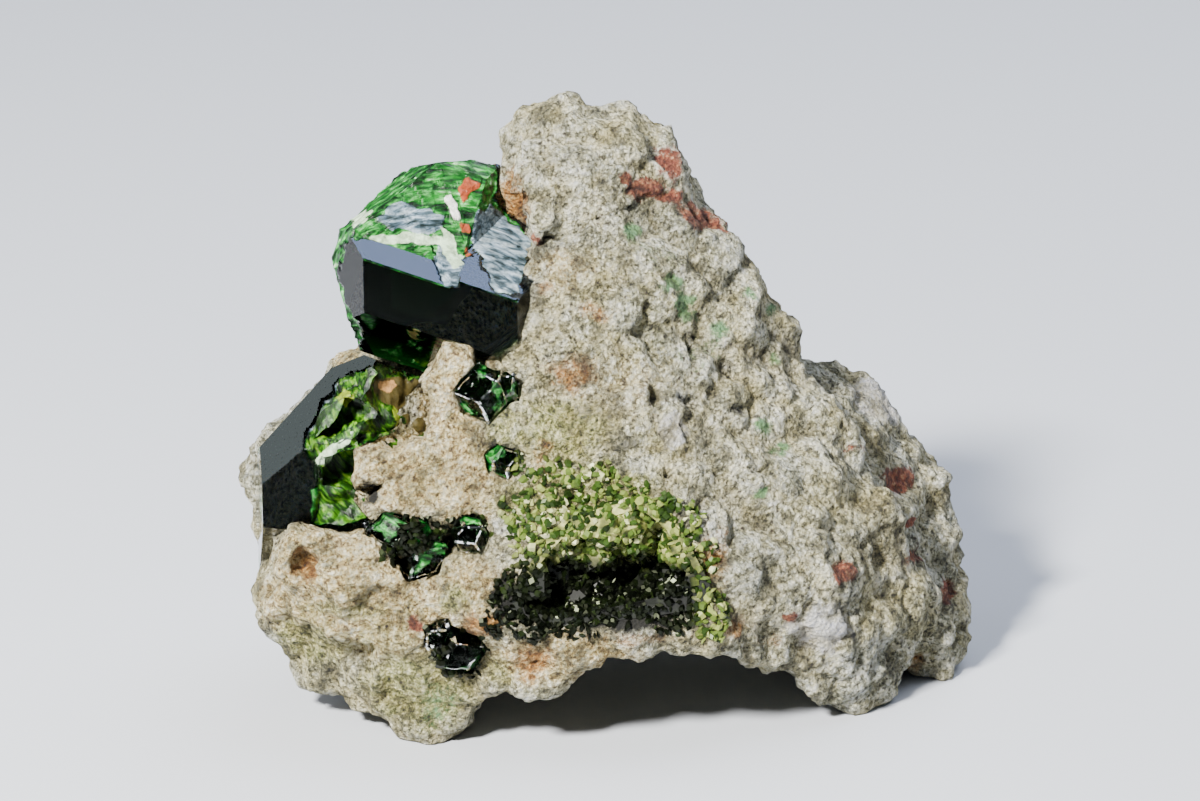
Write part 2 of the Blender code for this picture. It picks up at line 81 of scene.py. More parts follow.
# noise on points, and outlines of the photograph
def latticeValue(cell, seed):
    # a value from 0 to 1 for each cell of a grid, the same each time
    h = (cell[:, 0] * 73856093) ^ (cell[:, 1] * 19349663) ^ (cell[:, 2] * 83492791) ^ (seed * 2654435761)
    h = (h ^ (h >> 13)) * 1274126177 & 0xFFFFFFFF
    h = (h ^ (h >> 16)) * 2246822519 & 0xFFFFFFFF
    return ((h ^ (h >> 15)) & 0xFFFF) / 65535.0


def cloudNoise(points, size, seed=0, octaves=1):
    # smooth noise from -1 to 1, with lumps about size across
    total = np.zeros(len(points))
    weight, reach = 1.0, 0.0
    for octave in range(octaves):
        p = points / size * 2.0 ** octave + 37.7 * octave
        base = np.floor(p).astype(np.int64)
        f = p - base
        f = f * f * (3 - 2 * f)
        value = np.zeros(len(points))
        for dx in (0, 1):
            for dy in (0, 1):
                for dz in (0, 1):
                    w = (f[:, 0] if dx else 1 - f[:, 0]) * (f[:, 1] if dy else 1 - f[:, 1])
                    w = w * (f[:, 2] if dz else 1 - f[:, 2])
                    value += w * latticeValue(base + np.array((dx, dy, dz)), seed + octave * 17)
        total += weight * (value * 2 - 1)
        reach += weight
        weight *= 0.5
    return total / reach


def cellNoise(points, size, seed=0):
    # distance to the nearest and to the second nearest of scattered points, in units of size
    p = points / size
    base = np.floor(p).astype(np.int64)
    first = np.full(len(points), farAway)
    second = np.full(len(points), farAway)
    for dx in (-1, 0, 1):
        for dy in (-1, 0, 1):
            for dz in (-1, 0, 1):
                cell = base + np.array((dx, dy, dz))
                spot = cell + np.stack([latticeValue(cell, seed + k) for k in (1, 2, 3)], 1)
                gap = np.linalg.norm(spot - p, axis=1)
                second = np.where(gap < first, first, np.minimum(second, gap))
                first = np.minimum(first, gap)
    return first, second


def smoothStep(low, high, value):
    t = np.clip((value - low) / (high - low), 0, 1)
    return t * t * (3 - 2 * t)


def insideOutline(places, outline, soft=1.5):
    # 1 inside an outline of the photograph, 0 outside it
    inside = np.zeros(len(places), bool)
    nearest = np.full(len(places), np.inf)
    for (x0, y0), (x1, y1) in zip(outline, outline[1:] + outline[:1]):
        crossing = (y0 > places[:, 1]) != (y1 > places[:, 1])
        slope = (x1 - x0) / (y1 - y0) if y1 != y0 else 0.0
        inside ^= crossing & (places[:, 0] < x0 + slope * (places[:, 1] - y0))
        run = np.array((x1 - x0, y1 - y0), float)
        along = np.clip((places - (x0, y0)) @ run / (run @ run), 0, 1)
        nearest = np.minimum(nearest, np.linalg.norm(places - (x0, y0) - along[:, None] * run, axis=1))
    return smoothStep(-soft, soft, np.where(inside, nearest, -nearest))


def insideAny(places, outlines):
    return np.max([insideOutline(places, outline) for outline in outlines], axis=0)


def raggedPlaces(points, size, shift, seed):
    # where points fall in the photograph, moved unevenly by up to shift pixels
    uneven = np.stack([cloudNoise(points, size, seed, 2), cloudNoise(points, size, seed + 1, 2)], 1)
    return picturePlace(points) + uneven * shift


# meshes
def newObject(name, bm):
    # a new object in the scene, with the mesh that bm holds
    mesh = bpy.data.meshes.new(name)
    bm.to_mesh(mesh)
    bm.free()
    obj = bpy.data.objects.new(name, mesh)
    bpy.context.scene.collection.objects.link(obj)
    return obj


def mergedCopy(nodeName, name):
    # the CAD node's mesh as one closed skin in a new object
    bm = bmesh.new()
    bm.from_mesh(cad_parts[nodeName].data)
    bmesh.ops.remove_doubles(bm, verts=bm.verts, dist=1e-6)
    return newObject(name, bm)


def settle(obj):
    # turns the object, as its modifiers show it, into its own mesh
    mesh = bpy.data.meshes.new_from_object(obj.evaluated_get(bpy.context.evaluated_depsgraph_get()))
    obj.modifiers.clear()
    obj.data = mesh


def addModifier(obj, kind, **settings):
    modifier = obj.modifiers.new(kind.lower(), kind)
    for key, value in settings.items():
        setattr(modifier, key, value)
    return modifier


def pointsOf(mesh):
    co = np.empty(len(mesh.vertices) * 3, np.float32)
    mesh.vertices.foreach_get("co", co)
    return co.reshape(-1, 3).astype(float) / mm


def normalsOf(mesh):
    n = np.empty(len(mesh.vertices) * 3, np.float32)
    mesh.vertex_normals.foreach_get("vector", n)
    return n.reshape(-1, 3).astype(float)


def setPoints(mesh, points):
    mesh.vertices.foreach_set("co", (points * mm).astype(np.float32).ravel())
    mesh.update()


def addMask(mesh, name, values):
    attribute = mesh.attributes.new(name, "FLOAT", "POINT")
    attribute.data.foreach_set("value", np.asarray(values, np.float32))


def setSkin(mesh, points, masks):
    setPoints(mesh, points)
    for name, values in masks.items():
        addMask(mesh, name, values)


def treeOf(*meshes):
    # one search tree over meshes, in mm
    verts, faces = [], []
    for mesh in meshes:
        start = len(verts)
        verts += [v.co / mm for v in mesh.vertices]
        faces += [[start + i for i in polygon.vertices] for polygon in mesh.polygons]
    return BVHTree.FromPolygons(verts, faces)


def setFinish(obj, finish):
    obj.data.materials.clear()
    obj.data.materials.append(finish)


# nodes
def newMaterial(name):
    made = bpy.data.materials.new(name)
    made.use_nodes = True
    tree = made.node_tree
    return made, tree, tree.nodes["Principled BSDF"]


def outputOf(source):
    # the output that (node, output name) says, or else the node's first one in use
    if isinstance(source, tuple):
        return source[0].outputs[source[1]]
    return next(output for output in source.outputs if output.enabled)


def setNode(tree, node, settings=None, links=None):
    # settings: property or input -> its value, a colour as hex, and "stops" for the colours of a ramp
    # links: input -> the node that feeds it
    for key, value in (settings or {}).items():
        if key == "stops":
            stops = node.color_ramp.elements
            while len(stops) < len(value):
                stops.new(0.5)
            for stop, (place, colour) in zip(stops, value):
                stop.position = place
                stop.color = rgba(colour)
        elif isinstance(key, str) and key in node.bl_rna.properties:
            setattr(node, key, value)
        else:
            node.inputs[key].default_value = rgba(value) if node.inputs[key].type == "RGBA" else value
    for key, source in (links or {}).items():
        tree.links.new(outputOf(source), node.inputs[key])
    return node


def addNode(tree, kind, settings=None, links=None):
    return setNode(tree, tree.nodes.new(kind), settings, links)


def grainyMask(tree, name, grain, spread, edge):
    # the mesh's mask of that name, with an edge that follows the grain
    mask = addNode(tree, "ShaderNodeAttribute", {"attribute_name": name})
    shifted = addNode(tree, "ShaderNodeMath", {"operation": "MULTIPLY_ADD", 1: spread},
                      {0: grain, 2: (mask, "Fac")})
    low, high = edge
    return addNode(tree, "ShaderNodeMapRange",
                   {"From Min": low + spread / 2, "From Max": high + spread / 2}, {"Value": shifted})


def stainOver(tree, under, name, grain, pattern, tone, spread=0.5, edge=(0.42, 0.58)):
    # a stain where the mesh's mask says: one tone, or tones that follow a pattern, over the colour under it
    settings = {"data_type": "RGBA"}
    links = {0: grainyMask(tree, name, grain, spread, edge), 6: under}
    if isinstance(tone, str):
        settings[7] = tone
    else:
        links[7] = addNode(tree, "ShaderNodeValToRGB", {"stops": tone}, {"Fac": pattern})
    return addNode(tree, "ShaderNodeMix", settings, links)


def shadeOver(tree, under, pattern, tones, amount):
    # the colour under it multiplied, as far as amount says, by tones that follow a pattern
    shade = addNode(tree, "ShaderNodeValToRGB", {"stops": tones}, {"Fac": pattern})
    return addNode(tree, "ShaderNodeMix", {"data_type": "RGBA", "blend_type": "MULTIPLY", 0: amount},
                   {6: under, 7: shade})


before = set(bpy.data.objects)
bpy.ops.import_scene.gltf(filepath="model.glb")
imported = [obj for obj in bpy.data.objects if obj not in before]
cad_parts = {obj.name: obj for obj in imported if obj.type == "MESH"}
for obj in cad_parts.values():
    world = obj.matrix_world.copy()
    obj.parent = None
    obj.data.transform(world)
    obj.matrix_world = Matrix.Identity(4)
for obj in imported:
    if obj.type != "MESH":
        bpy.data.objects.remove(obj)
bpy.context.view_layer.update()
print("frame loaded")

# the rock
rockShape = {
    "voxel": 0.235,
    "smoothing": 7,              # rounds that soften the solid's flat faces
    "softenGaps": (0.3, 1.2),    # gap to a crystal where that starts, and what is added for all of it
    "swells": (3.6, 0.26),       # size across, height
    "blocks": (2.4, 0.26),
    "grooves": 0.35,             # width of the grooves between blocks, in sizes of a block
    "knobs": (1.0, 0.17),
    "grains": (0.5, 0.15),
    "grit": (0.28, 0.1),
    "pores": (0.6, 0.17),
    "poreNoise": (0.5, 0.72),    # noise values between which a pore sinks in
    "reliefGaps": (0.05, 1.3),   # gaps to a crystal between which the relief comes to its full height
    "reliefNear": 0.15,          # share of its height beside the crystals
    "standing": 0.5,             # the relief fades out this far above the floor
    "contactReach": 0.62,        # how near a crystal the socket's wall closes onto it
    "contactDepth": 0.06,
    "searchReach": 2.0,          # how far off a crystal is still looked for
    "patchDepth": 2.2,           # how far a patch reaches into the rock
    "patchFade": (1.25, 0.75),   # its strength in the middle, cut at 1, and what is lost out to its edge
    "patchRagged": (1.0, 0.55),  # unevenness of its edge: size, reach
    "crackRagged": (0.7, 0.22),
    "crackWall": (0.3, 1.8),     # where its wall starts and ends, in half widths
    "crackPaintedShade": (3.6, 0.5),    # how its painted shade grows with its depth, less a start
    "pitWall": (0.3, 1.0),       # patch strengths where a pit starts and is at its depth
    "paintedHollowShade": (0.1, 2.0),      # height below which the painted shade in the hollows starts, and how it grows
}

# Coloured or sunken places on the front: middle in the photograph, half width, half height, strength.
rockPatches = {
    "tan": [
        (452, 360, 38, 22, 1.0), (446, 412, 24, 48, 1.0), (408, 470, 66, 34, 1.0), (352, 516, 34, 16, 0.9),
        (330, 562, 56, 34, 1.0), (375, 610, 80, 46, 0.9), (285, 600, 36, 34, 0.8), (470, 480, 34, 50, 0.6),
        (345, 355, 14, 14, 1.0), (244, 500, 18, 52, 1.0), (522, 300, 20, 62, 0.8), (560, 270, 34, 22, 0.5),
        (508, 215, 26, 50, 0.8), (470, 590, 46, 34, 0.6), (560, 660, 70, 22, 0.8), (620, 380, 60, 40, 0.3),
    ],
    "orange": [
        (499, 142, 10, 32, 1.0), (514, 205, 16, 34, 0.9), (573, 372, 26, 20, 0.7), (486, 627, 20, 14, 1.0),
        (530, 662, 26, 18, 0.7), (596, 312, 30, 10, 0.5), (545, 455, 16, 30, 0.5), (640, 640, 60, 9, 0.5),
        (710, 560, 20, 36, 0.6), (736, 628, 18, 12, 0.7), (915, 662, 12, 8, 0.6), (303, 566, 14, 18, 0.8),
        (400, 385, 14, 12, 0.5), (540, 286, 14, 10, 0.5), (770, 640, 18, 8, 0.5),
    ],
    "rust": [
        (670, 161, 11, 15, 1.0), (628, 175, 8, 6, 0.9), (648, 191, 15, 11, 1.0), (673, 197, 13, 11, 0.9),
        (697, 216, 15, 11, 1.0), (716, 222, 8, 7, 0.8), (897, 480, 15, 11, 1.0), (909, 524, 6, 5, 0.9),
        (913, 560, 8, 6, 0.9), (844, 575, 10, 9, 1.0), (793, 617, 6, 6, 0.9), (949, 592, 6, 12, 1.0),
        (540, 240, 8, 5, 0.7), (412, 627, 10, 9, 0.9), (468, 640, 8, 7, 0.6), (852, 450, 7, 5, 0.5),
    ],
    "green": [
        (632, 237, 10, 11, 1.0), (671, 284, 13, 8, 1.0), (682, 303, 11, 10, 1.0), (692, 319, 8, 8, 0.9),
        (717, 331, 9, 8, 0.8), (751, 297, 8, 6, 0.8), (775, 308, 11, 11, 0.8), (774, 358, 7, 6, 0.8),
        (761, 424, 9, 11, 0.9), (780, 447, 8, 6, 0.9), (759, 491, 7, 6, 0.9), (440, 706, 26, 26, 0.5),
        (700, 350, 30, 24, 0.4), (655, 255, 28, 20, 0.4),
    ],
    # olive: a green-brown stain; low on the left, under the overhang, it is a painted shade
    "olive": [
        (560, 430, 60, 44, 0.8), (590, 500, 80, 40, 1.0), (610, 560, 96, 40, 1.0), (706, 590, 18, 34, 0.9),
        (500, 430, 22, 44, 0.7), (520, 500, 30, 30, 0.8), (310, 640, 50, 34, 0.8), (420, 690, 60, 46, 0.9),
        (455, 600, 20, 16, 0.8), (380, 640, 60, 30, 0.5), (500, 670, 34, 24, 0.6), (640, 440, 40, 30, 0.4),
        (630, 330, 110, 100, 0.42), (760, 480, 90, 70, 0.34), (590, 170, 60, 40, 0.3),
        (345, 612, 70, 14, 0.6),
    ],
    "white": [
        (578, 418, 13, 15, 1.0), (674, 429, 17, 20, 0.9), (822, 628, 34, 26, 0.9), (450, 613, 16, 9, 1.0),
        (640, 470, 22, 14, 0.5), (880, 400, 44, 34, 0.7), (700, 540, 14, 20, 0.5),
    ],
    # dark: mostly a painted shade, in the pits, on a shadowed ledge, in the hollow and under the overhangs;
    # a few are dark crystals
    "dark": [
        (695, 342, 5, 12, 0.7), (728, 367, 13, 12, 0.6), (687, 397, 10, 9, 0.6), (857, 612, 11, 6, 0.7),
        (330, 672, 34, 22, 0.55), (352, 606, 60, 8, 0.42), (410, 588, 30, 14, 0.45),
        (852, 633, 6, 5, 0.9), (738, 408, 12, 8, 0.7), (520, 190, 9, 12, 0.6), (404, 545, 34, 32, 0.9),
        (462, 535, 24, 16, 0.8), (457, 650, 34, 22, 0.8), (372, 492, 14, 10, 0.8), (512, 600, 24, 26, 1.0),
        (780, 520, 26, 8, 0.35), (815, 548, 22, 7, 0.35), (605, 612, 110, 22, 1.0), (500, 458, 14, 12, 0.6),
    ],
}

# Sunken places: middle in the photograph, half width and half height in pixels, depth in mm.
rockPits = [
    (695, 342, 6, 11, 0.4), (728, 367, 14, 12, 0.45), (687, 397, 12, 8, 0.4), (857, 612, 9, 5, 0.3),
    (738, 408, 11, 7, 0.3), (520, 190, 8, 12, 0.6), (595, 365, 8, 6, 0.3), (640, 330, 10, 6, 0.3),
    (303, 566, 12, 16, 0.6), (372, 492, 12, 8, 0.5), (760, 470, 10, 5, 0.4), (610, 290, 9, 5, 0.3),
    (560, 345, 8, 6, 0.3), (655, 395, 8, 10, 0.4), (720, 300, 10, 6, 0.3), (548, 380, 8, 7, 0.4),
]

# Cracks and seams: points in the photograph, half width in mm, depth in mm.
rockCracks = {
    "seam under the peak": ([(538, 243), (556, 238), (580, 228), (603, 216), (628, 210), (645, 199)],
                            0.14, 0.4),
    "upright crack": ([(679, 492), (677, 508), (676, 526)], 0.08, 0.3),
    "short crack": ([(661, 457), (668, 464), (672, 473)], 0.08, 0.25),
    "crease to the right": ([(742, 508), (768, 521), (796, 541), (832, 566)], 0.7, 0.2),
    "body's left edge": ([(532, 246), (528, 270), (520, 300), (516, 322)], 0.15, 0.35),
    "crack in the foot": ([(905, 668), (918, 652), (930, 640), (944, 628)], 0.12, 0.3),
}

crystalNodes = ["upper_garnet", "lower_garnet", "side_garnet", "glint_garnet", "ledge_garnets",
                "rim_garnet", "foot_garnet", "hollow_crystals"]


def frontPlace(tree, px, py):
    place, _, _, _ = tree.ray_cast(eyePlace, sightRay(px, py))
    return place


def patchStrength(points, wander, tree, px, py, halfWide, halfHigh):
    # 1 in the middle of a place of the photograph and 0 outside it, on the skin that the camera sees there
    middle = frontPlace(tree, px, py)
    if middle is None:
        return np.zeros(len(points))
    away = points + wander - np.array(middle)
    scale = pixelReach / (middle - eyePlace).length
    across = away @ np.array(rightWay) / (halfWide / scale)
    along = away @ np.array(upWay) / (halfHigh / scale)
    into = away @ np.array(lineOfSight) / (rockShape["patchDepth"] + max(halfWide, halfHigh) / scale)
    start, lost = rockShape["patchFade"]
    return np.clip(start - np.sqrt(across ** 2 + along ** 2 + into ** 2) * lost, 0, 1)


def closeSockets(points, crystals):
    # the sockets' walls come onto the crystals, so that no slit is left between them
    gaps = np.full(len(points), farAway)
    for number, point in enumerate(points):
        place, normal, _, gap = crystals.find_nearest(Vector(point), rockShape["searchReach"])
        if place is None:
            continue
        gaps[number] = gap
        if gap < rockShape["contactReach"]:
            points[number] = place - normal * rockShape["contactDepth"]
    return gaps


def softenSkin(rock, gaps):
    # the solid's flat faces are softened, less and less towards the crystals
    start, further = rockShape["softenGaps"]
    steps = 10
    free = np.ceil(np.clip((gaps - start) / further, 0.02, 1) * steps)     # from 1 to steps
    skin = rock.vertex_groups.new(name="free skin")
    for step in range(1, steps + 1):
        skin.add(np.nonzero(free == step)[0].tolist(), step / steps, "REPLACE")
    addModifier(rock, "SMOOTH", factor=0.5, iterations=rockShape["smoothing"], vertex_group="free skin")
    settle(rock)


# Where the photograph shows a crystal bare right up to these outlines, and no rock in front of it.
bareCrystal = {
    "lower_garnet": [
        [(340, 358), (362, 354), (416, 376), (432, 398), (428, 434), (412, 440), (394, 450), (372, 444),
         (340, 444), (330, 400)],
        [(300, 440), (336, 440), (340, 470), (336, 488), (366, 484), (382, 486), (364, 504), (356, 520),
         (302, 526)],
    ],
    "upper_garnet": [
        [(484, 170), (498, 194), (527, 230), (533, 244), (516, 288), (512, 300), (513, 322), (498, 334),
         (484, 342), (440, 342), (434, 360), (414, 372), (380, 350), (400, 250), (440, 180)],
    ],
}
bareShape = {
    "ragged": (0.8, 4),          # unevenness of the outlines: size in mm, reach in pixels
    "inFront": 4.5,              # rock up to this far in front of the crystal's face goes,
    "behind": 0.25,              # and then lies this far behind it
}


def bareTheCrystals(points):
    # the rock's skin that lies in front of a bare place of a crystal goes in behind the crystal's face
    places = raggedPlaces(points, *bareShape["ragged"], seed=71)
    for name, outlines in bareCrystal.items():
        tree = treeOf(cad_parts[name].data)
        for number in np.nonzero(insideAny(places, outlines) > 0.5)[0]:
            sight = Vector(points[number]) - eyePlace
            way = sight.normalized()
            face, _, _, reach = tree.ray_cast(eyePlace, way)
            if face is not None and -bareShape["inFront"] < sight.length - reach < bareShape["behind"]:
                points[number] = face + way * bareShape["behind"]


def crackDepth(points, tree):
    size, reach = rockShape["crackRagged"]
    wander = cloudNoise(points, size, 5)[:, None] * reach
    wallStart, wallEnd = rockShape["crackWall"]
    sunk = np.zeros(len(points))
    for line, halfWide, depth in rockCracks.values():
        places = [frontPlace(tree, *pixel) for pixel in line]
        spots = [np.array(place) for place in places if place is not None]
        for start, end in zip(spots, spots[1:]):
            run = end - start
            along = np.clip((points - start) @ run / (run @ run), 0, 1)
            gap = np.linalg.norm(points + wander - start - along[:, None] * run, axis=1)
            wall = smoothStep(halfWide * wallStart, halfWide * wallEnd, gap)
            sunk = np.maximum(sunk, depth * (1 - wall))
    return sunk


def rockRelief(points):
    # how far the skin stands out; what is taken off or added keeps it about the solid's skin
    size, height = rockShape["swells"]
    raised = height * cloudNoise(points, size, 1, 2)
    size, height = rockShape["blocks"]
    first, second = cellNoise(points, size, 3)
    raised += height * (smoothStep(0.0, rockShape["grooves"], second - first) - 0.6)
    size, height = rockShape["knobs"]
    raised += height * cloudNoise(points, size, 7, 2)
    size, height = rockShape["grains"]
    first, _ = cellNoise(points, size, 11)
    raised += height * (0.75 - 1.3 * first)
    size, height = rockShape["grit"]
    raised += height * cloudNoise(points, size, 13)
    size, height = rockShape["pores"]
    pores = smoothStep(*rockShape["poreNoise"], cloudNoise(points, size, 17, 2))
    return raised - height * pores


def makeRock():
    rock = mergedCopy("matrix", "rock")
    addModifier(rock, "REMESH", mode="VOXEL", voxel_size=rockShape["voxel"] * mm)
    settle(rock)
    points = pointsOf(rock.data)
    gaps = closeSockets(points, treeOf(*[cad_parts[name].data for name in crystalNodes]))
    setPoints(rock.data, points)
    softenSkin(rock, gaps)
    points = pointsOf(rock.data)
    normals = normalsOf(rock.data)
    tree = treeOf(rock.data)
    size, reach = rockShape["patchRagged"]
    wander = np.stack([cloudNoise(points, size, seed, 3) for seed in (61, 62, 63)], 1) * reach
    masks = {}
    for name, patches in rockPatches.items():
        masks[name] = np.max([strength * patchStrength(points, wander, tree, *place)
                              for *place, strength in patches], axis=0)
    sunk = crackDepth(points, tree)
    # crack: a painted shade in the cracks, darker where they are deeper
    growth, start = rockShape["crackPaintedShade"]
    masks["crack"] = np.clip(sunk * growth - start, 0, 1)
    for *place, depth in rockPits:
        pit = smoothStep(*rockShape["pitWall"], patchStrength(points, wander, tree, *place))
        sunk = np.maximum(sunk, depth * pit)
    print("rock places found")
    raised = rockRelief(points)
    # low: a painted shade in the hollows of the relief, darker the lower they sink
    start, growth = rockShape["paintedHollowShade"]
    masks["low"] = np.clip((start - raised) * growth, 0, 1)
    near = rockShape["reliefNear"]
    hold = smoothStep(*rockShape["reliefGaps"], gaps) * (1 - near) + near
    standing = smoothStep(0.0, rockShape["standing"], points[:, 2])
    points += normals * ((raised - sunk) * hold * standing)[:, None]
    points[:, 2] = np.maximum(points[:, 2], 0)
    bareTheCrystals(points)
    setSkin(rock.data, points, masks)
    for polygon in rock.data.polygons:
        polygon.use_smooth = True
    return rock


# stone: a calc-silicate rock of pale grains with tan, rusty and green stains. It is broken, never polished:
# matt, with grains that catch light one by one.
stoneLook = {
    "ior": 1.5,
    "roughness": 0.85,
    "relief": 0.9,               # depth of the finest relief, in the shading alone
    "grainRelief": 0.7,          # the grains' part in it, where the crumbs' is 1
    "crumbs": (0.34, 9.0, 0.8),  # size of a pattern, its detail and its roughness
    "clouds": (4.5, 6.0, 0.65),
    "ragged": (0.7, 8.0, 0.85),
    "dingy": (1.5, 7.0, 0.8),
    "grains": 0.2,
    "specks": 0.33,
    "speckEdge": (0.34, 0.22),   # where a speck starts and is full, in sizes of its pattern
    "speckChoice": 0.62,         # 0 puts a speck in every place for one, 1 in none
    "sootyNoise": (0.48, 0.58),  # noise values between which the specks darken
    "sootyLeast": 0.2,           # their strength where they are palest
    "speck": "#453a33",
    "base": [(0.38, "#454337"), (0.44, "#908f7e"), (0.49, "#e0dfcf"), (0.54, "#fefdf4"), (0.6, "#ffffff")],
}

# Tones that shade the stone by its patterns, and how far each does.
stoneShades = {
    "clouds": ([(0.4, "#e2d9a0"), (0.5, "#fffdf2"), (0.6, "#d2d8dc")], 0.55),
    "grains": ([(0.0, "#96968c"), (0.15, "#d3d1bb"), (0.45, "#f6f1d8"), (0.75, "#ffffff"),
                (1.0, "#dadde6")], 0.55),
    "dingy": ([(0.4, "#6e6b58"), (0.47, "#c4c2ae"), (0.53, "#ffffff")], 0.9),
    # low: a painted shade in the hollows of the relief
    "low": ([(0.0, "#ffffff"), (0.5, "#eee8d4"), (1.0, "#a89c7e")], 0.8),
}

# The stains from the lowest up: tone, how far the grains shift the edge, mask values at its start and end.
stoneStains = {
    "white": ("#ebebf2", 0.9),
    "tan": ([(0.38, "#594834"), (0.44, "#b39a69"), (0.49, "#efdca9"), (0.54, "#fff6d6"),
             (0.6, "#fffef0")], 0.9, (0.15, 0.5)),
    # olive: a stain, and under the overhang low on the left a painted shade
    "olive": ([(0.38, "#2a2c14"), (0.44, "#676b37"), (0.49, "#a8a86a"), (0.55, "#dedaa4"),
               (0.64, "#fcf9da")], 1.2, (0.35, 0.7)),
    "orange": ([(0.38, "#74471c"), (0.48, "#b47a35"), (0.56, "#d9a763"), (0.66, "#f2dcb4")],
               1.6, (0.3, 0.7)),
    "green": ("#78a573", 1.9, (0.35, 0.7)),
    "rust": ([(0.38, "#54281c"), (0.48, "#8f4733"), (0.56, "#b5714f"), (0.66, "#dbb79a")],
             2.0, (0.25, 0.5)),
}
stoneDarksAndShades = {                   # and those laid over the specks: dark spots with a painted shade, and a painted shade in the cracks
    "dark": ("#19170d", 1.3, (0.4, 0.7)),
    "crack": ("#4e4433", 0.3, (0.35, 0.8)),
}


def stoneMaterial():
    made, tree, shader = newMaterial("calcSilicateRock")
    where = (addNode(tree, "ShaderNodeTexCoord"), "Object")
    noises = {}
    for name in ("crumbs", "clouds", "ragged", "dingy"):
        size, detail, roughness = stoneLook[name]
        noises[name] = addNode(tree, "ShaderNodeTexNoise",
                               {"Scale": 1 / (size * mm), "Detail": detail, "Roughness": roughness},
                               {"Vector": where})
    crumbs, ragged = noises["crumbs"], noises["ragged"]
    grains, specks = [addNode(tree, "ShaderNodeTexVoronoi", {"Scale": 1 / (stoneLook[name] * mm)},
                              {"Vector": where}) for name in ("grains", "specks")]
    shade = addNode(tree, "ShaderNodeSeparateColor", links={0: (grains, "Color")})
    speckShade = addNode(tree, "ShaderNodeSeparateColor", links={0: (specks, "Color")})
    low = addNode(tree, "ShaderNodeAttribute", {"attribute_name": "low"})
    colour = addNode(tree, "ShaderNodeValToRGB", {"stops": stoneLook["base"]}, {"Fac": crumbs})
    colour = shadeOver(tree, colour, noises["clouds"], *stoneShades["clouds"])
    for name, stain in stoneStains.items():
        colour = stainOver(tree, colour, name, ragged, crumbs, *stain)
    start, full = stoneLook["speckEdge"]
    spot = addNode(tree, "ShaderNodeMapRange", {"From Min": start, "From Max": full},
                   {"Value": (specks, "Distance")})
    chosen = addNode(tree, "ShaderNodeMath", {"operation": "GREATER_THAN", 1: stoneLook["speckChoice"]},
                     {0: (speckShade, "Green")})
    start, full = stoneLook["sootyNoise"]
    sooty = addNode(tree, "ShaderNodeMapRange",
                    {"From Min": start, "From Max": full, "To Min": stoneLook["sootyLeast"]},
                    {"Value": ragged})
    for share in (chosen, sooty):
        spot = addNode(tree, "ShaderNodeMath", {"operation": "MULTIPLY"}, {0: spot, 1: share})
    colour = addNode(tree, "ShaderNodeMix", {"data_type": "RGBA", 7: stoneLook["speck"]},
                     {0: spot, 6: colour})
    # the dark spots and the painted shade in pits, cracks, the hollow and under the overhangs
    for name, stain in stoneDarksAndShades.items():
        colour = stainOver(tree, colour, name, ragged, crumbs, *stain)
    for name, pattern in (("grains", shade), ("dingy", noises["dingy"]), ("low", low)):
        colour = shadeOver(tree, colour, pattern, *stoneShades[name])
    height = addNode(tree, "ShaderNodeMath", {"operation": "MULTIPLY_ADD", 1: stoneLook["grainRelief"]},
                     {0: (grains, "Distance"), 2: crumbs})
    bump = addNode(tree, "ShaderNodeBump", {"Strength": 1.0, "Distance": stoneLook["relief"] * mm},
                   {"Height": height})
    setNode(tree, shader, {"Roughness": stoneLook["roughness"], "IOR": stoneLook["ior"]},
            {"Base Color": colour, "Normal": bump})
    return made


rock = makeRock()
setFinish(rock, stoneMaterial())
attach(rock, "root")
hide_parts("matrix")
print("rock made", len(rock.data.polygons))


# garnet: demantoid, clear deep green with a glassy skin. Its faces mirror what is above them and look black
# where nothing bright lies behind; a specular tint chosen by the way each face looks paints that reflection
# dark on most faces and pale blue on those that look up. Thin and etched places are vivid green.
garnetLook = {
    "ior": 1.888,
    "roughness": 0.03,
    "paintedDarkFaceTint": "#3c423e",      # specular tint of most faces, which mirror the floor, dark: a painted dark reflection,
    "paintedBrightFaceTint": "#b9d3ff",    # of the upper crystal's that look up, which mirror the lamp overhead, pale blue: a painted bright reflection,
    "paintedDullFaceTint": "#74897f",      # and of the lower crystal's left one, grey-green: a painted dull reflection
    "faceSpread": 0.95,          # how nearly a face has to look the bright faces' way to be one of them
    "through": "#3f9c34",        # what white light becomes on its way through
    "density": 1300.0,           # and how soon it does, to the metre
    "frostedRoughness": 0.33,
    "frostedTint": "#6f766f",
    "frostedThrough": 0.25,      # share of the light that still goes in
    "fine": (0.5, 8.0, 0.8),     # size of the fine mottling, its detail and its roughness
    "ragged": (0.5, 5),          # unevenness of the places' edges: size in mm, reach in pixels
    "spotEdge": (1.8, (0.4, 0.75)),      # how far the mottling shifts a spot's edge, mask values there
    "frostEdge": (1.2, (0.35, 0.65)),    # and the frosted skin's
}
garnetTones = {                  # tones along the growth lines, and how far the mottling shifts the edge
    "etched": [(0.36, "#020d05"), (0.45, "#0d3f16"), (0.53, "#21852e"), (0.61, "#68c069"),
               (0.7, "#e6fbe4")],
    "broken": ([(0.4, "#040c02"), (0.49, "#173c07"), (0.56, "#447c16"), (0.65, "#86a836"),
                (0.78, "#dcebb4")], 0.6),
    # slate: a painted slate blue reflection, laid on the crystals' flat faces
    "slate": ([(0.38, "#1c282c"), (0.46, "#4a5d6b"), (0.53, "#8598a9"), (0.64, "#bccbd8")], 1.0),
}
garnetShades = {                 # tones that shade it, and how far each does
    "step": ([(0.0, "#ffffff"), (0.4, "#b9e0b4"), (0.9, "#2c5a30")], 0.45),
    "mottled": ([(0.38, "#5f6258"), (0.48, "#c8cabf"), (0.56, "#ffffff")], 0.7),
}
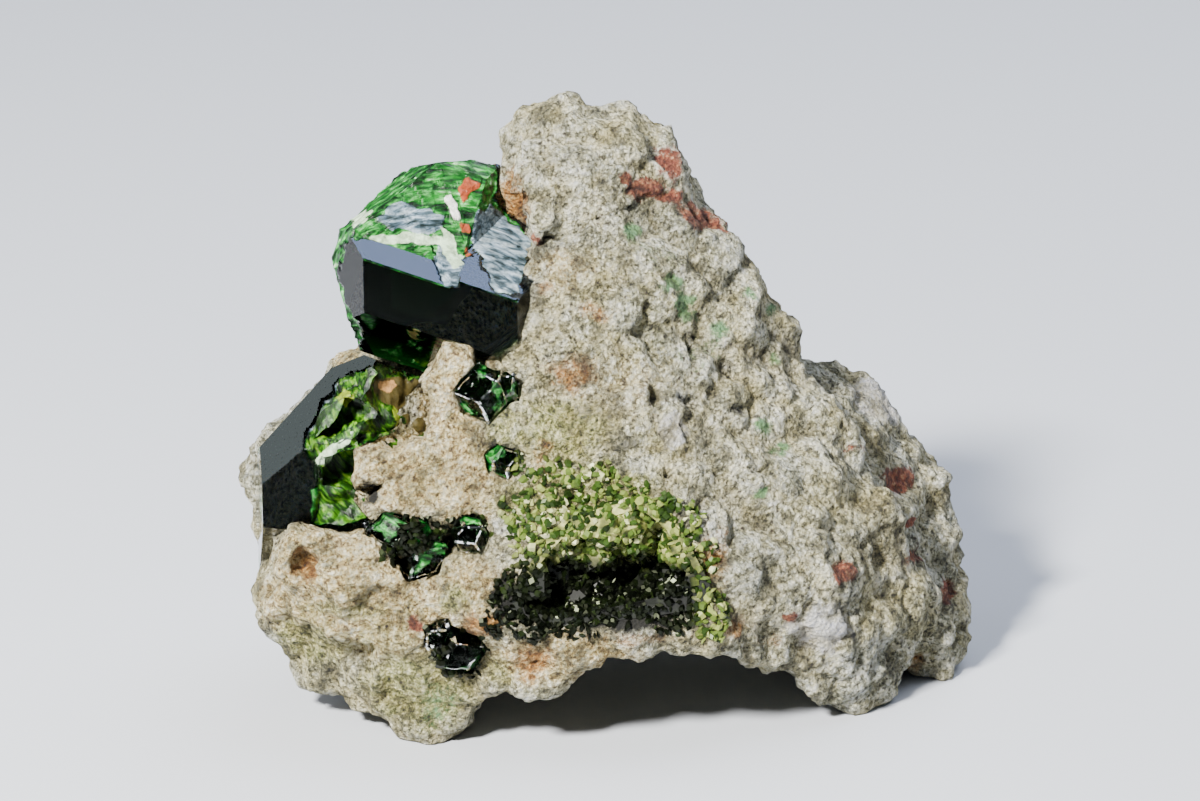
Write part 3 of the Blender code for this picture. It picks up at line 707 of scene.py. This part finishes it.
garnetSpots = {                  # the tones of the plain spots
    "yellow": "#8fa327",
    "pale": "#c4dfbe",
    "brown": "#4d4323",
    "orange": "#b98a58",
    "white": "#f4f4f0",
    "rust": "#a34a2c",
}

# The upper crystal as the solid has it: centre, the way its front face looks, the roll about it.
upperShape = {
    "centre": (-8.75, -1.93, 23.0),
    "front": (0.0, 6.0),
    "roll": -54.0,
    "levels": 5,
    "turned": (0.9, 0.97),       # how nearly a face looks a way, from not at all to fully
    "terraces": (0.55, 0.13),    # width of the etched steps, depth
    "stepWaves": 1.2,            # size of the waves in their edges
    "stretch": 0.75,             # how far they are drawn out along the crystal's edge, 1 for endless
    "pocks": (0.35, 0.08),
    "flakes": 0.12,              # how far the white and rusty flakes stand out
    "smoothSlate": 0.85,         # share of the relief that the places with the painted slate blue reflection lose
}

# Places on the upper crystal, as outlines in the photograph's pixels.
upperPlaces = {
    "etched": [
        [(322, 215), (352, 190), (400, 150), (490, 140), (500, 190), (497, 196), (480, 222), (472, 250),
         (456, 262), (450, 250), (440, 239), (413, 235), (398, 240), (366, 238), (352, 238), (342, 241),
         (338, 275), (348, 311), (360, 328), (362, 350), (340, 350), (322, 270)],
        [(474, 240), (478, 204), (492, 198), (532, 240), (518, 294), (494, 290), (484, 262), (476, 250)],
        [(432, 236), (447, 240), (463, 262), (457, 286), (444, 286), (434, 262)],
    ],
    # a painted slate blue reflection on flat faces
    "slate": [
        [(378, 222), (388, 205), (403, 200), (418, 212), (428, 207), (444, 215), (442, 228), (434, 233),
         (413, 233), (398, 226), (388, 228)],
        [(474, 240), (478, 214), (492, 206), (532, 240), (518, 294), (494, 290), (484, 262), (476, 250)],
        [(438, 246), (450, 244), (463, 262), (457, 286), (444, 286), (434, 266)],
    ],
    "pale": [
        [(364, 240), (380, 232), (410, 232), (444, 236), (458, 252), (470, 262), (452, 268), (440, 246),
         (410, 240), (380, 246)],
        [(352, 214), (372, 206), (366, 218), (350, 226)],
        [(440, 226), (458, 236), (456, 250), (444, 240)],
    ],
    "white": [[(443, 195), (451, 191), (461, 213), (461, 223), (453, 220)]],
    "rust": [
        [(459, 184), (468, 177), (479, 180), (476, 188), (469, 193), (464, 202), (459, 194)],
        [(461, 222), (470, 224), (469, 233), (460, 230)],
        [(464, 247), (469, 248), (468, 256), (464, 255)],
    ],
    "brown": [[(408, 328), (418, 330), (419, 339), (410, 340)]],
}

# The lower crystal, and places on it as outlines in the photograph's pixels.
lowerShape = {
    "mirrorFace": (-52.0, 40.0),    # the way that its left face looks
    "levels": 5,
    "breaks": (1.25, 0.5),       # size of the broken lumps, depth
    "fibres": (0.3, 0.1),
    "fibreLength": 0.35,         # their width over their length
    "etchSize": 1.6,             # size of the etched places on its back
}
lowerPlaces = {
    "broken": [
        [(302, 437), (319, 415), (324, 400), (338, 381), (352, 372), (380, 366), (420, 376), (436, 400),
         (430, 440), (400, 452), (384, 486), (360, 524), (312, 524), (316, 500), (322, 470), (304, 452)],
    ],
    "etched": [
        [(302, 437), (319, 415), (324, 400), (338, 384), (360, 400), (366, 420), (352, 436), (330, 446),
         (310, 452)],
        [(312, 490), (362, 490), (358, 522), (312, 522)],
    ],
    "yellow": [
        [(332, 390), (342, 386), (354, 398), (346, 408)],
        [(394, 400), (404, 402), (402, 430), (396, 436)],
    ],
    "pale": [[(318, 456), (334, 444), (362, 432), (352, 440), (336, 452), (330, 470), (322, 466)]],
    "brown": [[(378, 381), (400, 376), (432, 384), (431, 400), (427, 438), (412, 436), (405, 415),
               (388, 404)]],
    "orange": [[(386, 382), (398, 381), (401, 388), (392, 392), (385, 390)]],
    # a painted slate blue reflection on the crystal's left face
    "slate": [[(255, 458), (265, 494), (287, 476), (297, 447), (302, 437), (319, 415), (323, 402),
               (337, 382), (333, 369), (292, 404), (269, 430)]],
}


def garnetWays(front, roll):
    # how the cubic axes lie, as in the solid
    out = facing(*front)
    across = Vector((0, 0, 1)).cross(out).normalized()
    longWay = across * math.cos(math.radians(roll)) + out.cross(across) * math.sin(math.radians(roll))
    ways = ((out - longWay).normalized(), (out + longWay).normalized(), out.cross(longWay))
    return Matrix(ways).transposed()


def placeMasks(points, normals, outlines, seed):
    # each kind of place as a mask on the skin that faces the camera
    places = raggedPlaces(points, *garnetLook["ragged"], seed)
    seen = smoothStep(-0.25, 0.0, -(normals @ np.array(lineOfSight)))
    return {name: insideAny(places, lines) * seen for name, lines in outlines.items()}


def fineCopy(nodeName, name, levels):
    # the node's skin cut fine, its flat faces still flat, with its points and their normals
    obj = mergedCopy(nodeName, name)
    addModifier(obj, "SUBSURF", subdivision_type="SIMPLE", levels=levels, render_levels=levels)
    settle(obj)
    return obj, pointsOf(obj.data), normalsOf(obj.data)


def makeUpperGarnet():
    crystal, points, normals = fineCopy("upper_garnet", "upperGarnet", upperShape["levels"])
    ways = np.array(garnetWays(upperShape["front"], upperShape["roll"]))
    masks = placeMasks(points, normals, upperPlaces, seed=21)
    away = points - np.array(upperShape["centre"])
    behind = smoothStep(-0.1, 0.1, normals @ np.array(lineOfSight)) * smoothStep(-1.0, 1.0, away[:, 2])
    slopeWay = ways @ np.array((2.0, 1.0, 1.0)) / math.sqrt(6)
    wallWay = -(ways @ np.array((1.0, 0.0, -1.0))) / math.sqrt(2)
    slope = smoothStep(*upperShape["turned"], normals @ slopeWay)
    wall = smoothStep(*upperShape["turned"], normals @ wallWay) * (away[:, 2] > 0)
    masks["etched"] = np.max([masks["etched"], behind, slope, wall], axis=0)
    masks["pale"] = np.maximum(masks["pale"] * masks["etched"], wall)
    edgeWay = ways @ np.array((0.0, 1.0, 1.0)) / math.sqrt(2)
    stretched = away - upperShape["stretch"] * (away @ edgeWay)[:, None] * edgeWay
    width, depth = upperShape["terraces"]
    masks["step"], _ = cellNoise(stretched, width, 31)
    rise = (away @ (ways @ np.array((1.0, 0.0, 0.0)))) / width
    steps = np.floor(rise + cloudNoise(stretched, upperShape["stepWaves"], 33)) % 2
    sunk = depth * (0.6 * smoothStep(0, 0.5, masks["step"]) + 0.4 * steps)
    size, depth = upperShape["pocks"]
    sunk = sunk + depth * (cloudNoise(stretched, size, 35) * 0.5 + 0.5)
    lifted = upperShape["flakes"] * np.maximum(masks["white"], masks["rust"])
    sunk *= masks["etched"] * (1 - upperShape["smoothSlate"] * masks["slate"])
    setSkin(crystal.data, points + normals * (lifted - sunk)[:, None], masks)
    return crystal


def makeLowerGarnet():
    crystal, points, normals = fineCopy("lower_garnet", "lowerGarnet", lowerShape["levels"])
    masks = placeMasks(points, normals, lowerPlaces, seed=41)
    behind = smoothStep(-0.3, 0.1, normals @ np.array(lineOfSight))
    etched = smoothStep(-0.1, 0.4, cloudNoise(points, lowerShape["etchSize"], 47, 2))
    masks["etched"] = np.maximum(masks["etched"], behind * etched)
    size, depth = lowerShape["breaks"]
    masks["step"], _ = cellNoise(points, size, 43)
    lumps = depth * smoothStep(0.15, 0.75, masks["step"])
    size, depth = lowerShape["fibres"]
    lumps += depth * cloudNoise(points * (1, 1, lowerShape["fibreLength"]), size, 45)
    setSkin(crystal.data, points - normals * (lumps * masks["broken"])[:, None], masks)
    return crystal


smallShape = {
    "levels": 4,
    "chips": (0.6, 0.34),        # size of the broken faces, depth
    "wideChips": 2.3,            # the larger chips, in sizes of the small ones
    "etchSize": 0.9,
}
smallGarnets = {                 # the solid that each one dresses, and the seed of its chips
    "sideGarnet": ("side_garnet", 81),
    "glintGarnet": ("glint_garnet", 84),
    "ledgeGarnets": ("ledge_garnets", 87),
    "rimGarnet": ("rim_garnet", 90),
    "footGarnet": ("foot_garnet", 93),
}


def makeSmallGarnet(nodeName, name, seed):
    # a small crystal, broken all over into little faces
    crystal, points, normals = fineCopy(nodeName, name, smallShape["levels"])
    size, depth = smallShape["chips"]
    fine, _ = cellNoise(points, size, seed)
    wide, _ = cellNoise(points, size * smallShape["wideChips"], seed + 5)
    sunk = depth * (0.5 * fine + 0.9 * wide)
    etched = smoothStep(0.0, 0.5, cloudNoise(points, smallShape["etchSize"], seed + 9, 2))
    setSkin(crystal.data, points - normals * sunk[:, None], {"step": fine, "etched": etched})
    return crystal


streakShape = {
    "centre": (-8.0, 18.0),      # X and Z of the middle of the arcs
    "turns": 5.0,                # how often the lines break on the way round, to the radian
    "width": 0.32,
    "depth": 0.5,
    "noise": {"Detail": 5.0, "Roughness": 0.65, "Distortion": 0.5},
    "relief": 0.16,
    "reliefStrength": 0.7,
}


def growthStreaks(tree, where):
    # fine growth lines, in arcs round one middle
    centre = addNode(tree, "ShaderNodeSeparateXYZ", links={0: where})
    across, up = [addNode(tree, "ShaderNodeMath", {"operation": "SUBTRACT", 1: middle * mm},
                          {0: (centre, way)}) for way, middle in zip("XZ", streakShape["centre"])]
    turn = addNode(tree, "ShaderNodeMath", {"operation": "ARCTAN2"}, {0: up, 1: across})
    squares = [addNode(tree, "ShaderNodeMath", {"operation": "MULTIPLY"}, {0: side, 1: side})
               for side in (across, up)]
    square = addNode(tree, "ShaderNodeMath", {"operation": "ADD"}, {0: squares[0], 1: squares[1]})
    reach = addNode(tree, "ShaderNodeMath", {"operation": "SQRT"}, {0: square})
    along, into, out = [addNode(tree, "ShaderNodeMath", {"operation": "MULTIPLY", 1: scale}, {0: source})
                        for scale, source in ((streakShape["turns"], turn),
                                              (1 / (streakShape["depth"] * mm), (centre, "Y")),
                                              (1 / (streakShape["width"] * mm), reach))]
    place = addNode(tree, "ShaderNodeCombineXYZ", links={0: along, 1: into, 2: out})
    return addNode(tree, "ShaderNodeTexNoise", {"Scale": 1.0, **streakShape["noise"]}, {"Vector": place})


def garnetMaterial(name, tint):
    # clear garnet, with a frosted skin where the mesh's masks say
    made, tree, clear = newMaterial(name)
    setNode(tree, clear, {"Base Color": "#ffffff", "Transmission Weight": 1.0, "IOR": garnetLook["ior"],
                          "Roughness": garnetLook["roughness"], "Specular Tint": tint})
    inside = addNode(tree, "ShaderNodeVolumeAbsorption",
                     {"Color": garnetLook["through"], "Density": garnetLook["density"]})
    where = (addNode(tree, "ShaderNodeTexCoord"), "Object")
    streaks = growthStreaks(tree, where)
    size, detail, roughness = garnetLook["fine"]
    fine = addNode(tree, "ShaderNodeTexNoise",
                   {"Scale": 1 / (size * mm), "Detail": detail, "Roughness": roughness}, {"Vector": where})
    step = addNode(tree, "ShaderNodeAttribute", {"attribute_name": "step"})
    colour = addNode(tree, "ShaderNodeValToRGB", {"stops": garnetTones["etched"]}, {"Fac": streaks})
    colour = stainOver(tree, colour, "broken", fine, streaks, *garnetTones["broken"])
    colour = shadeOver(tree, colour, step, *garnetShades["step"])
    # a painted slate blue reflection where the mask says
    colour = stainOver(tree, colour, "slate", fine, streaks, *garnetTones["slate"])
    for spot, tone in garnetSpots.items():
        colour = stainOver(tree, colour, spot, fine, streaks, tone, *garnetLook["spotEdge"])
    colour = shadeOver(tree, colour, fine, *garnetShades["mottled"])
    bump = addNode(tree, "ShaderNodeBump",
                   {"Strength": streakShape["reliefStrength"], "Distance": streakShape["relief"] * mm},
                   {"Height": streaks})
    frosted = addNode(tree, "ShaderNodeBsdfPrincipled",
                      {"IOR": garnetLook["ior"], "Roughness": garnetLook["frostedRoughness"],
                       "Specular Tint": garnetLook["frostedTint"],
                       "Transmission Weight": garnetLook["frostedThrough"]},
                      {"Base Color": colour, "Normal": bump})
    covers = [grainyMask(tree, spot, fine, *garnetLook["frostEdge"])
              for spot in ("etched", "broken", "white", "rust", "brown")]
    cover = covers[0]
    for further in covers[1:]:
        cover = addNode(tree, "ShaderNodeMath", {"operation": "MAXIMUM"}, {0: cover, 1: further})
    both = addNode(tree, "ShaderNodeMixShader", links={0: cover, 1: clear, 2: frosted})
    setNode(tree, tree.nodes["Material Output"], links={"Surface": both, "Volume": inside})
    return made


# the etched material gives the clear faces the dark specular tint, a painted dark reflection
etchedGarnet = garnetMaterial("etchedDemantoid", garnetLook["paintedDarkFaceTint"])
paintedReflectionFaces = {                  # the way that a crystal's faces with a painted bright reflection look, and their finish
    "upperGarnet": (garnetWays(upperShape["front"], upperShape["roll"]) @ Vector((1, 0, 1)).normalized(),
                    garnetMaterial("demantoidPaintedBrightFace", garnetLook["paintedBrightFaceTint"])),
    "lowerGarnet": (facing(*lowerShape["mirrorFace"]),
                    garnetMaterial("demantoidPaintedDullFace", garnetLook["paintedDullFaceTint"])),
}
garnets = [(makeUpperGarnet(), "upper_garnet"), (makeLowerGarnet(), "lower_garnet")]
garnets += [(makeSmallGarnet(name, piece, seed), name) for piece, (name, seed) in smallGarnets.items()]
for crystal, name in garnets:
    setFinish(crystal, etchedGarnet)
    for polygon in crystal.data.polygons:
        polygon.use_smooth = False
    if crystal.name in paintedReflectionFaces:
        way, finish = paintedReflectionFaces[crystal.name]
        crystal.data.materials.append(finish)
        for polygon in crystal.data.polygons:
            if polygon.normal.dot(way) > garnetLook["faceSpread"]:
                polygon.material_index = 1
    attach(crystal, "root")
    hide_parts(name)
    print(crystal.name, len(crystal.data.polygons))


# druse: the crust of small demantoids in the hollow and on the slope above it, glossy; painted black-green
# in the depth as a painted shade, and yellow-green above and right of it as painted light falling through
# them.
druseShape = {
    "perSquareMm": 13.0,
    "smallest": 0.07,
    "largest": 0.33,
    "seed": 5,
    "ragged": (1.5, 16),         # unevenness of its edge: size in mm, reach in pixels
    "front": -5.5,               # it grows in front of this Y
    "turnedAway": -0.05,         # and not on faces turned further from the camera than this
    "brightRagged": (1.5, 0.8),        # unevenness of these heights: size, reach
    "brightHeight": (9.4, 10.8),       # it is painted bright, as lit, above these heights,
    "brightColumn": (485, 505),        # right of these columns of the photograph
    "brightRow": (444, 474),           # and below these rows,
    "brightEdge": (690, 704),          # and right of these columns at any height; elsewhere it is painted dark, as in shade
}
druseLook = {
    "ior": 1.888,
    "roughness": 0.3,
    "through": 0.2,              # share of the light that goes in
    "tint": "#666c58",
    # tones of the crystals painted dark, as shade in the hollow, and of those painted bright, as lit
    "dark": [(0.0, "#010201"), (0.6, "#040602"), (0.9, "#0a1105"), (1.0, "#1f2a10")],
    "light": [(0.0, "#111e08"), (0.35, "#2d4416"), (0.65, "#56682b"), (0.88, "#848c4a"), (1.0, "#cbcb9c")],
}


def druseMaterial():
    made, tree, shader = newMaterial("demantoidDruse")
    shade = addNode(tree, "ShaderNodeAttribute", {"attribute_name": "shade"})
    depth = addNode(tree, "ShaderNodeAttribute", {"attribute_name": "depth"})
    dark, light = [addNode(tree, "ShaderNodeValToRGB", {"stops": druseLook[name]}, {"Fac": shade})
                   for name in ("dark", "light")]
    # the depth mask mixes them: a painted shade in the hollow, painted light above and right of it
    colour = addNode(tree, "ShaderNodeMix", {"data_type": "RGBA"}, {0: depth, 6: light, 7: dark})
    setNode(tree, shader, {"Roughness": druseLook["roughness"], "IOR": druseLook["ior"],
                           "Transmission Weight": druseLook["through"], "Specular Tint": druseLook["tint"]},
            {"Base Color": colour})
    return made


def bud():
    # a rhombic dodecahedron of radius 1
    bm = bmesh.new()
    corners = [(x, y, z) for x in (-1, 1) for y in (-1, 1) for z in (-1, 1)]
    corners += [tuple(2 * side if axis == way else 0 for axis in range(3))
                for way in range(3) for side in (-1, 1)]
    verts = [bm.verts.new(Vector(corner) / 2) for corner in corners]
    bmesh.ops.convex_hull(bm, input=verts)
    bmesh.ops.dissolve_limit(bm, angle_limit=0.02, verts=bm.verts, edges=bm.edges)
    return newObject("bud", bm)


def drusyTree(seedCrystal, finish):
    # crystals grown all over a ground: named inputs give how many to the square metre and how large
    tree = bpy.data.node_groups.new("drusyCrust", "GeometryNodeTree")
    sockets = tree.interface
    sockets.new_socket("Geometry", in_out="INPUT", socket_type="NodeSocketGeometry")
    for name, kind in (("Crystals per square metre", "NodeSocketFloat"), ("Smallest", "NodeSocketFloat"),
                       ("Largest", "NodeSocketFloat"), ("Seed", "NodeSocketInt")):
        sockets.new_socket(name, in_out="INPUT", socket_type=kind)
    sockets.new_socket("Geometry", in_out="OUTPUT", socket_type="NodeSocketGeometry")
    given = addNode(tree, "NodeGroupInput")
    spread = addNode(tree, "GeometryNodeDistributePointsOnFaces", {"distribute_method": "RANDOM"},
                     {"Mesh": (given, "Geometry"), "Density": (given, "Crystals per square metre"),
                      "Seed": (given, "Seed")})
    size = addNode(tree, "FunctionNodeRandomValue", {"data_type": "FLOAT_VECTOR"},
                   {0: (given, "Smallest"), 1: (given, "Largest"), 8: (given, "Seed")})
    turn = addNode(tree, "FunctionNodeRandomValue",
                   {"data_type": "FLOAT_VECTOR", 0: (0, 0, 0), 1: (6.3, 6.3, 6.3)})     # any way round
    source = addNode(tree, "GeometryNodeObjectInfo", {"Object": seedCrystal})
    grown = addNode(tree, "GeometryNodeInstanceOnPoints", {},
                    {"Points": spread, "Instance": (source, "Geometry"), "Rotation": turn, "Scale": size})
    tone = addNode(tree, "FunctionNodeRandomValue", {"data_type": "FLOAT", 2: 0.0, 3: 1.0})
    shaded = addNode(tree, "GeometryNodeStoreNamedAttribute",
                     {"data_type": "FLOAT", "domain": "INSTANCE", "Name": "shade"},
                     {"Geometry": grown, "Value": tone})
    real = addNode(tree, "GeometryNodeRealizeInstances", {}, {"Geometry": shaded})
    painted = addNode(tree, "GeometryNodeSetMaterial", {"Material": finish}, {"Geometry": real})
    addNode(tree, "NodeGroupOutput", {}, {"Geometry": painted})
    return tree


druseOutlines = [
    [(500, 500), (520, 470), (560, 455), (600, 466), (646, 484), (690, 506), (716, 540), (726, 560),
     (724, 636), (690, 640), (640, 628), (590, 640), (540, 646), (492, 640), (490, 590), (510, 560),
     (500, 530)],
    [(370, 516), (430, 512), (440, 545), (436, 580), (400, 584), (370, 560)],
    [(440, 520), (488, 518), (488, 550), (442, 552)],
    [(428, 630), (488, 628), (488, 674), (432, 676)],
    [(486, 444), (518, 442), (520, 470), (488, 470)],
]


def makeDruse():
    # the ground is the rock's and the crust's own skin where the druse grows
    bm = bmesh.new()
    bm.from_mesh(rock.data)
    for name in ("hollow_crystals", "ledge_garnets", "rim_garnet", "foot_garnet", "glint_garnet"):
        bm.from_mesh(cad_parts[name].data)
    points = np.array([vert.co for vert in bm.verts]) / mm
    inside = insideAny(raggedPlaces(points, *druseShape["ragged"], seed=51), druseOutlines) > 0.5
    inside &= points[:, 1] < druseShape["front"]
    outside = [vert for vert, kept in zip(bm.verts, inside) if not kept]
    bmesh.ops.delete(bm, geom=outside, context="VERTS")
    away = [face for face in bm.faces if face.normal.dot(lineOfSight) > druseShape["turnedAway"]]
    bmesh.ops.delete(bm, geom=away, context="FACES")
    druse = newObject("druse", bm)
    seedCrystal = bud()
    tree = drusyTree(seedCrystal, druseMaterial())
    modifier = addModifier(druse, "NODES", node_group=tree)
    values = {"Crystals per square metre": druseShape["perSquareMm"] / mm ** 2,
              "Smallest": druseShape["smallest"] * mm, "Largest": druseShape["largest"] * mm,
              "Seed": druseShape["seed"]}
    for item in tree.interface.items_tree:
        if item.in_out == "INPUT" and item.name in values:
            modifier[item.identifier] = values[item.name]
    settle(druse)
    bpy.data.objects.remove(seedCrystal, do_unlink=True)
    points = pointsOf(druse.data)
    places = picturePlace(points)
    size, reach = druseShape["brightRagged"]
    high = smoothStep(*druseShape["brightHeight"], points[:, 2] + cloudNoise(points, size, 55) * reach)
    high = high * smoothStep(*druseShape["brightColumn"], places[:, 0])
    high = high * smoothStep(*druseShape["brightRow"], places[:, 1])
    rightSide = smoothStep(*druseShape["brightEdge"], places[:, 0])
    # depth: 1 where the druse is painted dark as shade, 0 where it is painted bright as lit
    addMask(druse.data, "depth", 1 - np.maximum(high, rightSide))
    return druse


# the ground between the small crystals: the same mineral, too dark and fine to see into; painted darker
# below a height as shade in the hollow, lighter above it as painted light
crustLook = {
    "roughness": 0.4,
    "mottle": 0.6,               # size of the mottling
    "brightHeight": (9.4, 11.0),
    "deep": [(0.4, "#040502"), (0.6, "#0b1006"), (0.75, "#1c220e")],
    "high": [(0.35, "#2b3312"), (0.5, "#6b6f35"), (0.65, "#a6a56a")],
}


def crustMaterial():
    made, tree, shader = newMaterial("drusyGround")
    where = (addNode(tree, "ShaderNodeTexCoord"), "Object")
    fine = addNode(tree, "ShaderNodeTexNoise", {"Scale": 1 / (crustLook["mottle"] * mm), "Detail": 6.0},
                   {"Vector": where})
    deep, high = [addNode(tree, "ShaderNodeValToRGB", {"stops": crustLook[name]}, {"Fac": fine})
                  for name in ("deep", "high")]
    height = addNode(tree, "ShaderNodeSeparateXYZ", links={0: where})
    # painted light above this height, painted shade below it
    start, full = crustLook["brightHeight"]
    rise = addNode(tree, "ShaderNodeMapRange", {"From Min": start * mm, "From Max": full * mm},
                   {"Value": (height, "Z")})
    tone = addNode(tree, "ShaderNodeMix", {"data_type": "RGBA"}, {0: rise, 6: deep, 7: high})
    setNode(tree, shader, {"Roughness": crustLook["roughness"]}, {"Base Color": tone})
    return made


druse = makeDruse()
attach(druse, "root")
setFinish(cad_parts["hollow_crystals"], crustMaterial())
print("druse grown", len(druse.data.polygons))

# floor, light and camera
studio = {
    "floorSize": 900.0,          # from its middle to its edge
    "floor": "#b6bac2",
    "floorRoughness": 0.8,
    "sky": "#dfe6f0",
    "skyStrength": 0.12,
    "aim": (0, -3, 14),          # where the lamps look
}
studioLights = {
    "overhead": {"place": (95, 110, 260), "size": (330, 330), "watts": 1.45, "colour": "#eaf1ff"},
    "leftWindow": {"place": (-300, 60, 190), "size": (240, 240), "watts": 0.45, "colour": "#f2f6ff"},
    "key": {"place": (-140, -220, 215), "size": (45, 45), "watts": 5.8, "colour": "#fffcf4"},
}


def makeFloor():
    bm = bmesh.new()
    bmesh.ops.create_grid(bm, x_segments=1, y_segments=1, size=studio["floorSize"] * mm)
    floor = newObject("floor", bm)
    made, tree, shader = newMaterial("paleFloor")
    setNode(tree, shader, {"Base Color": studio["floor"], "Roughness": studio["floorRoughness"]})
    setFinish(floor, made)


def makeLights():
    aim = Vector(studio["aim"])
    for name, light in studioLights.items():
        data = bpy.data.lights.new(name, "AREA")
        data.shape = "RECTANGLE"
        data.size, data.size_y = (side * mm for side in light["size"])
        data.energy = light["watts"]
        data.color = linear(light["colour"])
        lamp = bpy.data.objects.new(name, data)
        bpy.context.scene.collection.objects.link(lamp)
        place = Vector(light["place"])
        lamp.location = place * mm
        lamp.rotation_euler = (aim - place).to_track_quat("-Z", "Y").to_euler()
    world = bpy.data.worlds.new("studio")
    world.use_nodes = True
    setNode(world.node_tree, world.node_tree.nodes["Background"],
            {"Color": studio["sky"], "Strength": studio["skyStrength"]})
    bpy.context.scene.world = world


def makeCamera():
    data = bpy.data.cameras.new("camera")
    data.lens = view["lens"]
    data.sensor_width = view["sensor"]
    data.sensor_fit = "HORIZONTAL"
    data.clip_start = view["nearest"] * mm
    data.clip_end = view["furthest"] * mm
    camera = bpy.data.objects.new("camera", data)
    bpy.context.scene.collection.objects.link(camera)
    camera.location = eyePlace * mm
    camera.rotation_euler = lineOfSight.to_track_quat("-Z", "Y").to_euler()
    bpy.context.scene.camera = camera


makeFloor()
makeLights()
makeCamera()
print("stage set")
